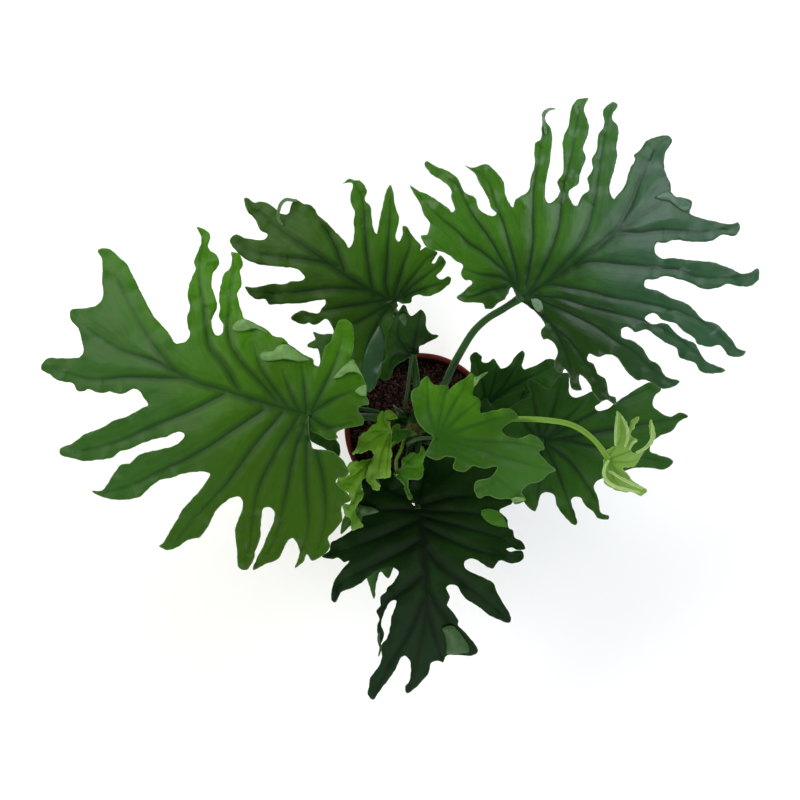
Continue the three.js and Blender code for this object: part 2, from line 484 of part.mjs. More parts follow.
// Soil up to a little under the lip, with a socket for the stem
function soil() {
  const top = potHeight - soilDepth;
  const inner = rimRadius - lipWidth;
  const low = floorThickness + gap;
  const lowRadius = baseRadius - wall - gap;
  const topRadius = inner - gap;
  const body = toSolid(lathe([
    [0, low], [lowRadius, low], [topRadius - gap, potHeight - lipDrop - 2],
    [topRadius - gap, top - soilCrown], [0.75 * topRadius, top], [0, top + soilCrown],
  ], 40));
  const axis = place(stemPoint[0], stemPoint[1], 0);
  const socket = new THREE.CylinderGeometry(stemRadius + gap, stemRadius + gap, stemBuried + 20, 24)
    .rotateX(Math.PI / 2);
  socket.translate(axis.x, axis.y, top - stemBuried - gap + (stemBuried + 20) / 2);
  return toGeometry(body.subtract(toSolid(socket)));
}

// The short upright stem that every stalk grows from, or the same grown by a clearance
function stemShape(grown) {
  const low = potHeight - soilDepth - stemBuried - grown;
  const high = potHeight + stemTop + grown;
  const radius = stemRadius + grown;
  const geometry = lathe([
    [0, low], [radius, low], [radius, high - stemShoulder], [radius * 0.75, high - 2], [0, high],
  ], 24);
  const axis = place(stemPoint[0], stemPoint[1], 0);
  return geometry.translate(axis.x, axis.y, 0);
}

// A pointed scale leaf leaning out from the foot of the stem
function scaleLeaf(angle, length, lean) {
  const radius = scaleLeafRadius;
  const cone = lathe([[0, 0], [radius, 0], [radius * 0.9, length * 0.4], [0.5, length], [0, length]], 10);
  const turn = THREE.MathUtils.degToRad(angle);
  cone.rotateY(THREE.MathUtils.degToRad(lean)).rotateZ(turn);
  const axis = place(stemPoint[0], stemPoint[1], 0);
  const reach = stemRadius + radius + 1.5;
  return cone.translate(axis.x + reach * Math.cos(turn), axis.y + reach * Math.sin(turn),
    potHeight - soilDepth + scaleLeafFoot);
}

const looks = {
  leafGreen: { color: 0x3f7a1f, roughness: 0.45 },
  darkLeaf: { color: 0x1c3d17, roughness: 0.45 },
  youngLeaf: { color: 0x7fae35, roughness: 0.5 },
  stalkGreen: { color: 0x4a7a3a, roughness: 0.5 },
  stemBrown: { color: 0x5b5a33, roughness: 0.8 },
  pottingSoil: { color: 0x2b1712, roughness: 1 },
  potPlastic: { color: 0x5e2420, roughness: 0.5 },
};

const plant = new THREE.Group();

function add(name, geometry, look) {
  const material = new THREE.MeshStandardMaterial({ ...looks[look], metalness: 0 });
  const mesh = new THREE.Mesh(geometry, material);
  mesh.name = name;
  plant.add(mesh);
}

add("pot", pot(), "potPlastic");
add("soil", soil(), "pottingSoil");
add("stem", stemShape(0), "stemBrown");
add("scale_leaf_rear", scaleLeaf(128, 40, 24), "stemBrown");
add("scale_leaf_right", scaleLeaf(-40, 30, 20), "stemBrown");
const bladeLooks = {
  front: "darkLeaf", right: "darkLeaf", rear_small: "darkLeaf", inner_rear: "darkLeaf",
  under_left: "darkLeaf", young_centre: "youngLeaf", young_left: "youngLeaf",
  young_right: "youngLeaf", young_inner: "youngLeaf", unfurling: "youngLeaf", middle: "youngLeaf",
};
for (const name of Object.keys(leaves)) {
  add(`stalk_${name}`, stalk(name), name === "unfurling" ? "youngLeaf" : "stalkGreen");
  add(`leaf_${name}`, blade(name), bladeLooks[name] ?? "leafGreen");
}

export default plant;
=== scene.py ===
import math
from functools import partial

import bmesh
import bpy
import numpy as np
from mathutils import Matrix, Vector, noise
from mathutils.geometry import delaunay_2d_cdt


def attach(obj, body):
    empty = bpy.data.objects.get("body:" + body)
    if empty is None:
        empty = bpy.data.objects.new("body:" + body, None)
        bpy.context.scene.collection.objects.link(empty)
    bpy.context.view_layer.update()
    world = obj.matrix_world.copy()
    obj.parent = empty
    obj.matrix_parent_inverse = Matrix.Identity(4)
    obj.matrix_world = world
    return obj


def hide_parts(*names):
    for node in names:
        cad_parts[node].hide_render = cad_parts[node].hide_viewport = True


# A potted lacy tree philodendron seen from straight above. Real sizes are in millimetres.
# Leaves are drawn as an eye above the pot sees them: across, down, in units of which the
# pot's rim measures rimAcross. Heights called rise are millimetres above the rim.

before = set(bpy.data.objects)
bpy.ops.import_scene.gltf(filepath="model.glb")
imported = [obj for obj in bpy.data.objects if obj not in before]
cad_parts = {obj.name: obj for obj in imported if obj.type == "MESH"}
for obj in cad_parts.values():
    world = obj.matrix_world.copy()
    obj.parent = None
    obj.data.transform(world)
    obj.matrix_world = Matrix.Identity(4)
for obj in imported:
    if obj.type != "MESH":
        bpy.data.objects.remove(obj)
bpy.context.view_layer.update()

layout = {
    "rimRadius": 85.0,
    "rimAcross": 151.0,
    "potHeight": 150.0,
    "eyeHeight": 1300.0,
    "eyePoint": (400.0, 400.0),
    "potPoint": (419.8, 428.3),
    "stemPoint": (413.0, 430.0),
}
mm = 0.001
unit = 2 * layout["rimRadius"] / layout["rimAcross"]

# Each margin runs once round its leaf from the joint, as across and down pairs
outlines = {
    "left": [
        [309, 413, 309.9, 419, 310.6, 428, 313, 432.3, 318, 434.5, 323, 437, 330, 440, 338, 438,
         336, 433, 343, 429, 358, 426, 363, 424],
        [364, 419, 361, 415, 358, 409, 360, 406, 369, 404, 368, 399, 366, 396, 367, 388, 364, 379,
         360, 371, 353, 359, 350, 359],
        [352, 353, 354, 345, 354, 337, 353, 328, 350, 322, 346, 319.5, 341, 319.5, 338, 322, 336, 327,
         333, 333, 331, 341, 327, 345, 324, 350, 322, 357, 320, 365, 317, 366],
        [314, 364, 313, 359, 306, 356, 295, 348, 289, 344, 283, 338, 278, 337, 274, 336, 266, 329,
         257, 324, 250, 321, 244, 318],
        [242, 312, 238, 300, 237, 295, 239, 290, 241.5, 285, 241, 278, 240, 271, 243, 265, 242, 260,
         239, 254, 231, 252, 232, 258, 231, 265, 229, 269.5, 225, 272, 223, 276, 220, 290, 219, 300,
         220, 307, 219, 317, 223, 325, 222, 333.5, 219, 335.5],
        [216, 335, 213, 331, 211.5, 324, 212, 318, 217, 308, 216, 300, 212, 287, 211.5, 280, 213, 273,
         217, 268, 219, 264, 218, 258, 215, 253, 210, 250, 208, 246, 210, 237, 209, 233, 205, 229.5,
         196.5, 227, 199, 232, 201, 237, 201, 243, 196, 256, 194, 262, 195.5, 269, 192, 277, 190, 282,
         187.5, 297, 190, 307, 187, 317, 188, 327, 190, 332, 189, 337, 186, 341, 181, 343],
        [176, 343.5, 173, 341, 168, 332, 160, 323, 155, 318, 149, 308, 141, 292, 136, 282, 131, 272,
         127, 264, 120, 258, 113, 251, 107, 248, 98, 250, 102, 260, 102, 280, 103, 296, 98, 304,
         87, 308, 71, 310, 71, 320, 78, 328, 82, 342, 83, 352, 80, 357, 72, 358],
        [60, 358, 47, 358.5, 41, 369, 50, 374.5, 57, 380, 68, 382.5, 73, 384, 78, 391, 84, 391,
         88, 389, 96, 392, 104, 393, 109, 391.5, 120, 394, 129, 391, 133, 389, 138, 390, 144, 398],
        [147.5, 405, 140, 409, 125, 417, 115, 420, 103, 427, 90, 432, 83, 435, 78, 439, 73, 443,
         60, 449, 60.5, 455, 72, 458, 83, 461, 98, 460, 106, 459, 112, 458, 119, 452, 130, 449,
         140, 444, 152, 440, 165, 437, 175, 432.5, 181, 432, 184.5, 435],
        [177, 444, 170, 447, 157, 450, 144, 453, 138, 455.5, 130, 463, 121, 465, 114, 473, 108, 483,
         101, 490.5, 92, 491, 102, 497, 118, 500, 134, 498.5, 141, 496, 150, 487, 160, 480, 170, 478,
         182, 474, 195, 472, 203, 471.5],
        [210, 474, 207, 480, 200, 490, 191, 500, 182, 510, 177, 520, 170, 531, 163, 543, 159, 546,
         167, 550, 178, 547, 188, 540, 200, 537, 208, 526, 216, 511, 225, 502, 235, 497],
        [240, 497, 243, 505, 239, 518, 235, 530, 237, 550, 239, 568, 247, 569.5, 253, 560, 256, 549,
         260, 538, 261, 522, 263, 509, 268, 507, 274, 511, 274, 520, 268, 534, 263, 546, 253, 569.5,
         266, 564, 278, 559, 283, 550, 289, 540],
        [293, 538.5, 299, 548, 299, 556, 295, 568, 303, 562, 307, 554, 312, 560.5, 322, 556, 330, 547,
         328, 538, 335, 530, 342, 520, 342, 506, 351, 500],
        [345, 491, 336, 483, 338, 478, 345, 477, 349, 473, 344, 462, 338, 455.5, 330, 450.5, 313, 448,
         310.7, 441, 309.2, 434, 308.6, 422],
    ],
    "rear_left": [
        [398, 306, 394, 312, 392.5, 320, 387, 335, 385, 342, 387, 353, 386, 360, 382, 364, 380.5, 374,
         376, 384, 370, 392, 366, 390, 360, 378, 352, 362, 343, 347, 336, 338, 333.5, 332],
        [332, 327, 326, 319, 319, 323, 314, 325, 309, 322.5, 303, 324.5, 290.5, 318, 300, 311,
         310, 312.5, 318, 313, 322, 308, 325.5, 304, 325, 300],
        [320, 300, 304, 303, 290, 303.5, 275, 304.5, 269, 304.5, 265, 299.5, 254, 298.5, 245, 287,
         254, 287.5, 272, 284, 284, 284, 290, 281.5, 302, 280.5],
        [304.5, 277, 301, 272, 296, 269, 283, 267, 262, 265, 247, 260, 240, 255, 231, 244, 230, 240,
         232, 236, 236, 234.5, 247, 238.5, 259, 240, 264, 239.5, 267, 237],
        [267, 234, 260, 230, 257, 224, 255, 219, 248, 212, 244.5, 198, 248, 198, 254, 202.3,
         260, 201.3, 266, 202.5, 271, 205.5, 276, 209.5, 279, 213],
        [288, 214, 292, 203, 296, 199.5, 299, 201, 303, 203.5, 308, 204.5, 312, 206, 316, 210.5,
         318, 215, 326, 222, 336, 232, 345, 241.5, 348.5, 247.5],
        [352.5, 243, 354.3, 232, 353.5, 220, 354.5, 212, 350.5, 202, 350.5, 195, 352.5, 184,
         349, 182.2, 343, 183.5, 349, 179, 355, 180, 361, 181.5, 366.7, 190, 364.8, 200, 370, 206,
         371.8, 216, 373, 228, 376.7, 234],
        [379, 223, 382, 208, 385, 195, 390.2, 184.5, 393.3, 193, 395, 206, 398.7, 217, 397.5, 228,
         395.3, 236.5, 398.5, 242],
        [402.5, 234, 403, 226, 407, 227, 410, 232, 416, 240, 421, 246, 420.5, 250],
        [426, 247, 435, 250.5, 437.5, 253, 434, 259, 431.5, 263, 434.5, 263.5, 440, 255.5, 446, 262,
         441.5, 270, 436, 275.5],
        [440, 279.3, 449, 276.5, 451.5, 278.5, 449, 284, 440, 291.5, 428, 296.3, 418, 294.7, 412, 297,
         411, 302, 403, 303.5, 397, 301.5],
    ],
    "rear_right": [
        [518, 299.5, 515, 293, 511.5, 287.5, 508.5, 293, 504, 299.5, 498, 303, 492, 308.5,
         485.5, 308.5, 483, 303.5, 470, 302.3, 462, 301.5, 456.5, 297.5, 463, 292, 472, 283,
         471, 280.5, 466, 280],
        [461, 275, 462.5, 265, 457, 261.5, 450, 256, 441, 251.5, 428, 248, 422, 240, 421, 235.5,
         427, 234.5, 428.8, 231],
        [429.5, 222, 424, 214.5, 420, 204, 412, 190, 409.8, 185, 417, 190, 430, 195.5, 443, 204.5,
         448, 207.5, 452, 212.5],
        [455, 208, 451.3, 199, 451.3, 190, 446, 183.5, 431, 173.5, 424.8, 164.5, 426.5, 161,
         436, 166.5, 448, 171, 458, 179, 465, 192.5, 475, 197.5, 479, 209, 493, 216],
        [497, 213, 491.5, 208, 488, 198, 481, 185, 473.5, 172, 465.3, 165.2, 471, 167.7, 486, 164.2,
         495, 170.5, 504, 183, 505, 193, 512.5, 207],
        [516, 199.5, 528.5, 190.5, 531, 178, 534.8, 164.5, 534.3, 148, 535, 143, 541, 139.5,
         541.7, 127, 543, 119, 542, 114, 548, 108, 555.5, 108.5, 549, 110.5, 545, 116, 546, 121,
         551.5, 130, 551, 152, 549, 167, 545.7, 184, 545.3, 198, 549, 203.3],
        [555, 200, 560, 191, 557.5, 182, 563, 173, 563.3, 152, 562.5, 141, 569, 124, 570.5, 111,
         576.5, 100, 588.5, 98.5, 584.5, 106, 584, 110.5, 588, 121, 588.5, 133, 583, 148.5, 586, 157,
         580, 174, 578, 184, 569.5, 190, 568.7, 195, 573, 204],
        [577, 205.3, 582.5, 195.5, 589.5, 189.5, 587.5, 179, 593.5, 168, 592, 160, 597, 149,
         598.3, 135, 603, 128, 604.5, 122, 603, 111, 613, 102, 618, 105, 613, 113, 612.5, 119,
         618.5, 128, 616.5, 148, 617.5, 155, 614, 170, 609.5, 189, 614, 199],
        [619.5, 192.5, 625.5, 184.5, 629.5, 170, 635.5, 158.5, 634.5, 155, 641, 149, 645.5, 141.5,
         656, 137, 668, 135.5, 672, 141, 665.5, 153, 664.8, 170, 670.5, 184, 672, 197],
        [681, 197, 691.5, 201, 692.3, 204, 690, 213, 695, 216, 711, 220.5, 731, 224, 738, 222.5,
         740, 228, 735, 236, 724, 234.5, 711, 241, 692, 241.5, 674, 240, 664, 243, 657, 243],
        [655, 251, 662, 258.5, 672, 258, 694, 260.5, 712, 262, 733, 269.5, 741, 273.7, 751, 272,
         758, 268.5, 759, 279, 751, 286, 739, 286.3, 728, 284, 718, 288, 704, 289, 690, 282.5,
         675, 278, 665, 276, 655, 279.5, 645, 280.5],
        [645, 287, 656, 290, 673, 298.5, 686, 303, 695, 311, 704, 320, 716, 323.5, 725, 332,
         732.5, 340, 737.5, 348.5, 746, 351.5, 741, 356.3, 729, 355.5, 720, 345.5, 710, 347, 698, 344,
         694, 338, 683, 331, 676, 323.5, 668, 321.8, 662, 319.5, 658, 315, 653, 313, 645, 318],
        [652, 324, 662, 322.8, 668, 324.5, 679, 336, 695, 343.5, 698.5, 350, 706, 360.5, 725.5, 370.5,
         710, 373.8, 700.5, 371, 695, 363, 679.5, 357, 676.8, 348.5, 664, 341.5, 654, 334, 646, 329.3,
         636, 332, 628.5, 327, 622, 329],
        [622, 337, 633, 341, 643.5, 349, 649, 358.8, 659, 365, 665.5, 376, 680, 381.5, 672, 387.5,
         660, 388, 646, 379.7, 637, 380, 628, 373, 615, 356, 607, 354.5, 598, 356.8, 589.5, 353.7],
        [587.5, 360, 594, 364.5, 597.5, 373.5, 605, 378.5, 609.8, 395, 615.5, 397.5, 616, 405,
         607, 400, 601, 401.5, 594, 394, 589.5, 384, 580, 374.5],
        [579, 379.5, 581.5, 390, 572, 389, 569, 375, 565, 369.5, 559, 373, 554.5, 365, 557.5, 352,
         553.5, 342.5, 547, 339, 543.5, 339.5, 541, 331, 545, 325],
        [541, 318, 532, 309, 524, 303, 519, 301],
    ],
    "front": [
        [417, 507, 413.5, 505, 409.8, 500, 407, 493, 404.5, 485, 401, 479.5, 396, 476, 388, 473,
         376, 474, 366, 477, 361, 479, 363, 498],
        [358, 505, 362, 520, 351, 531, 338, 539, 331, 543, 329, 551, 322, 556.5, 332, 559, 338, 558,
         344, 562],
        [349, 561, 340.5, 572, 334.5, 580.5, 331.5, 592, 331.5, 600, 335, 602.5, 339.5, 595.5,
         342, 591.5, 350, 589, 361, 583, 368, 577, 379, 570.5, 394, 568],
        [398.5, 572, 392, 584, 387, 588, 386, 592, 380.5, 597, 380.5, 606, 376.5, 611, 379.5, 619,
         377, 627, 379, 638, 380.5, 643, 384, 635.5, 381, 625, 385.5, 610, 391, 601.5],
        [396, 601, 391.5, 617, 390, 627, 387, 638, 381, 647, 382, 656, 379, 666, 370, 678.5,
         368.5, 688, 367.5, 694, 373, 699.5, 381, 689, 394, 672, 401.5, 657.5],
        [405, 655.5, 409.8, 661, 410, 680, 405, 688, 407, 693, 421, 682.5, 429, 672, 431, 663.5,
         438, 660.8, 443, 662.5, 446, 656],
        [460, 655, 473, 655.5, 478, 651, 466.5, 634, 458, 625.5, 458.5, 621, 451, 610, 446.8, 605,
         449.5, 597, 446, 588],
        [451, 584.3, 456.5, 586, 464.5, 597.5, 480.5, 608, 489, 615, 509.5, 622.5, 511, 618,
         503.5, 604, 496.5, 591.5, 494, 584, 477.5, 575, 466.5, 569, 464, 564],
        [467, 560, 475, 559, 484, 565, 493, 568.5, 499.5, 560.8, 513, 563.5, 523, 559, 522.5, 551.5,
         517, 551, 510, 552],
        [506, 549, 511, 547.5, 518, 549.8, 525, 549, 522, 542, 515, 537.5, 513, 530.5, 508.5, 527.5,
         507.5, 520, 500, 510.5],
        [512, 503.5, 513, 500, 500, 496, 492, 490, 488, 484, 494, 477, 500, 470, 497, 465, 486, 462,
         470, 460.5, 455, 457, 440, 453, 428, 455, 420, 462, 414, 471, 411, 480, 410.6, 490,
         412.5, 499, 415, 504.5],
    ],
    "right": [
        [540, 439.3, 532, 438.8, 520, 438.5, 509, 438, 501.5, 433, 499.5, 424, 503, 414, 510, 407,
         518, 402.5, 525, 398.5, 530, 397, 531.5, 393, 528, 387, 527.5, 381, 531, 378, 539, 383.5],
        [549, 388.5, 555.5, 381, 562, 373.5, 568, 373, 569, 385, 569.5, 393],
        [574, 397.5, 585, 394.5, 594, 391, 603, 393, 606, 398, 600, 403, 595, 407, 598, 410.5],
        [606, 409.5, 620, 399.5, 640, 387, 651, 382.5, 660, 387, 661, 390, 655, 395.5, 653, 405],
        [659, 411, 670, 416.8, 680, 412.5, 688, 416.5, 679, 421.5, 672, 431, 660, 436, 652, 443],
        [650, 451, 659, 455, 671, 459, 673, 462, 666, 469, 650, 468, 634, 468, 618, 474],
        [600, 479.5, 594, 485, 598.5, 500, 601, 513, 609, 516, 608, 519.5, 598, 518, 593, 511,
         584.5, 505, 581, 498],
        [574, 497.5, 571, 500, 574, 511, 577, 523, 575, 525, 563, 515, 556.5, 504, 555, 496],
        [548, 492.5, 541.5, 494, 537.5, 506, 535, 511, 527, 506, 521, 496],
        [512, 484, 507, 470, 504, 458, 503, 447, 507, 440.3, 517, 439.6, 528, 440],
    ],
    "middle": [
        [433, 437, 426, 431.5, 417, 421, 413, 407, 411, 394, 413, 389.5, 419.5, 386, 421, 381,
         427, 376, 431, 382, 434, 385, 448, 386, 449, 390],
        [455, 384, 464, 379, 471, 373.5, 479, 377, 488, 371.5, 480, 379, 474, 388, 473, 395],
        [480, 400, 480.5, 410, 481, 413],
        [491, 411, 507, 408.5, 514, 411, 519, 418, 514, 420.5, 504, 427, 501.5, 431],
        [509, 437, 521, 438, 531, 434.5, 540, 439.5, 544.5, 449.5, 539, 451.5],
        [549, 464, 556, 470, 549, 474, 541, 481, 528, 485, 522, 492, 526, 500, 515, 504],
        [510, 499, 497, 499, 488, 495.5, 478.5, 498, 474, 487, 477, 481, 491, 477, 497, 467],
        [484, 468.5, 474, 466, 464, 472, 453, 468, 455, 459],
        [446, 456.5, 438, 460, 425.5, 454.5, 429, 446],
    ],
    "rear_small": [
        [484, 408, 476, 403, 472, 392, 470, 378, 470.5, 364, 470, 357, 475, 352, 481.5, 356, 482, 361],
        [488, 362.5, 493.5, 358.8, 498.5, 365, 501, 368.6],
        [510, 364.5, 514, 358, 522.5, 350.5, 525, 353, 522, 366, 524.5, 369],
        [540, 363, 547, 359, 556, 360, 564, 366, 560, 377, 550, 389, 536, 397, 522, 402, 508, 410,
         494, 411],
    ],
    "inner_rear": [
        [410, 357, 404, 361, 395, 367, 389, 379.5, 381, 378, 378, 364, 379, 352, 380, 342, 383, 331,
         388, 322.5, 393, 317.5, 399, 311, 403, 304.5, 405.5, 306, 409, 314],
        [412, 316, 421, 310, 426, 317, 426.5, 328],
        [432, 334, 438.5, 336, 426, 343.5, 419, 347, 419, 354],
    ],
    "under_left": [
        [356, 407, 351, 394, 346, 380, 341, 365, 336, 350, 333, 334.5, 322, 334.5, 313, 332,
         315.5, 339, 308, 343.5, 307.5, 346.5, 313, 348.3],
        [317.5, 349, 320, 361, 313, 382, 301, 394, 303, 405, 306, 413],
        [307, 422, 310, 440, 322, 447, 339, 456, 340, 447],
        [336, 437, 342, 424, 352, 414],
    ],
    "under_front": [
        [384, 497, 372, 492, 360, 496, 350, 508, 343, 519, 341, 534.5, 351, 526],
        [356, 531, 358, 550, 363, 568, 369, 585, 374, 599, 377, 580],
        [381, 572, 388, 578.5, 393, 569, 399, 552, 404, 534, 404, 514, 396, 502],
    ],
    "young_centre": [
        [391, 428, 389, 421.5, 385.5, 417, 384, 411.5, 381.5, 410.8, 379, 413, 377, 419, 377, 423.5,
         370, 426, 366.5, 431.5, 361, 434.5, 358, 438, 357.5, 445, 353, 454, 363, 452, 371.5, 450.5],
        [372.5, 459, 368, 468, 366, 479, 371, 486, 376, 491, 379.5, 490, 379.5, 485.5, 375, 479.5,
         382, 478, 390, 477.5, 391, 466, 391.8, 450, 391.8, 437],
    ],
    "young_left": [
        [373, 459, 362, 461, 352, 462, 347, 467, 349, 475, 338, 478, 338, 488, 348, 493, 350, 503],
        [343, 505, 345, 515, 350, 520, 352, 530, 363, 526, 357, 517, 357, 504, 363, 498, 362, 480,
         369, 476, 371, 467],
    ],
    "young_right": [
        [395, 471, 401, 467.5, 402.5, 458, 406, 455, 410, 453, 413, 452, 416.5, 454, 419, 453,
         421, 446.5, 424, 449, 425, 456, 424, 461, 424.3, 470, 422, 477, 418, 479.5, 409, 480.5],
        [409, 490, 411.3, 496, 411, 499.5, 408.5, 499, 405.5, 493, 403.5, 485, 400, 480.5, 395.5, 477,
         393.5, 474],
    ],
    "young_inner": [
        [393, 426, 397, 424.5, 400, 425.5, 400.5, 429.5, 405, 429.5, 409.5, 428, 412, 431,
         418.5, 434.5, 412, 436, 406, 437.5, 404, 440.5, 400, 441.5, 398, 444, 396, 442, 393, 441.5],
    ],
    "unfurling": [
        [606, 452, 611, 447, 616.5, 446, 615.5, 432, 615.5, 420, 616.5, 411, 621, 415, 627, 422],
        [628.5, 430, 631, 421, 638.5, 417, 635.5, 425],
        [631.5, 434, 637.5, 441, 632, 443],
        [631, 449, 636, 454, 641, 449, 648, 445, 650, 436, 649, 424, 651, 420, 654, 427, 655.5, 438,
         652, 444, 645, 450],
        [641, 457, 636, 465, 624, 468],
        [630, 477, 638, 484, 648, 491.5, 641, 496, 634, 493, 622, 492, 612, 488, 605, 483, 602.5, 475,
         604, 464],
    ],
}

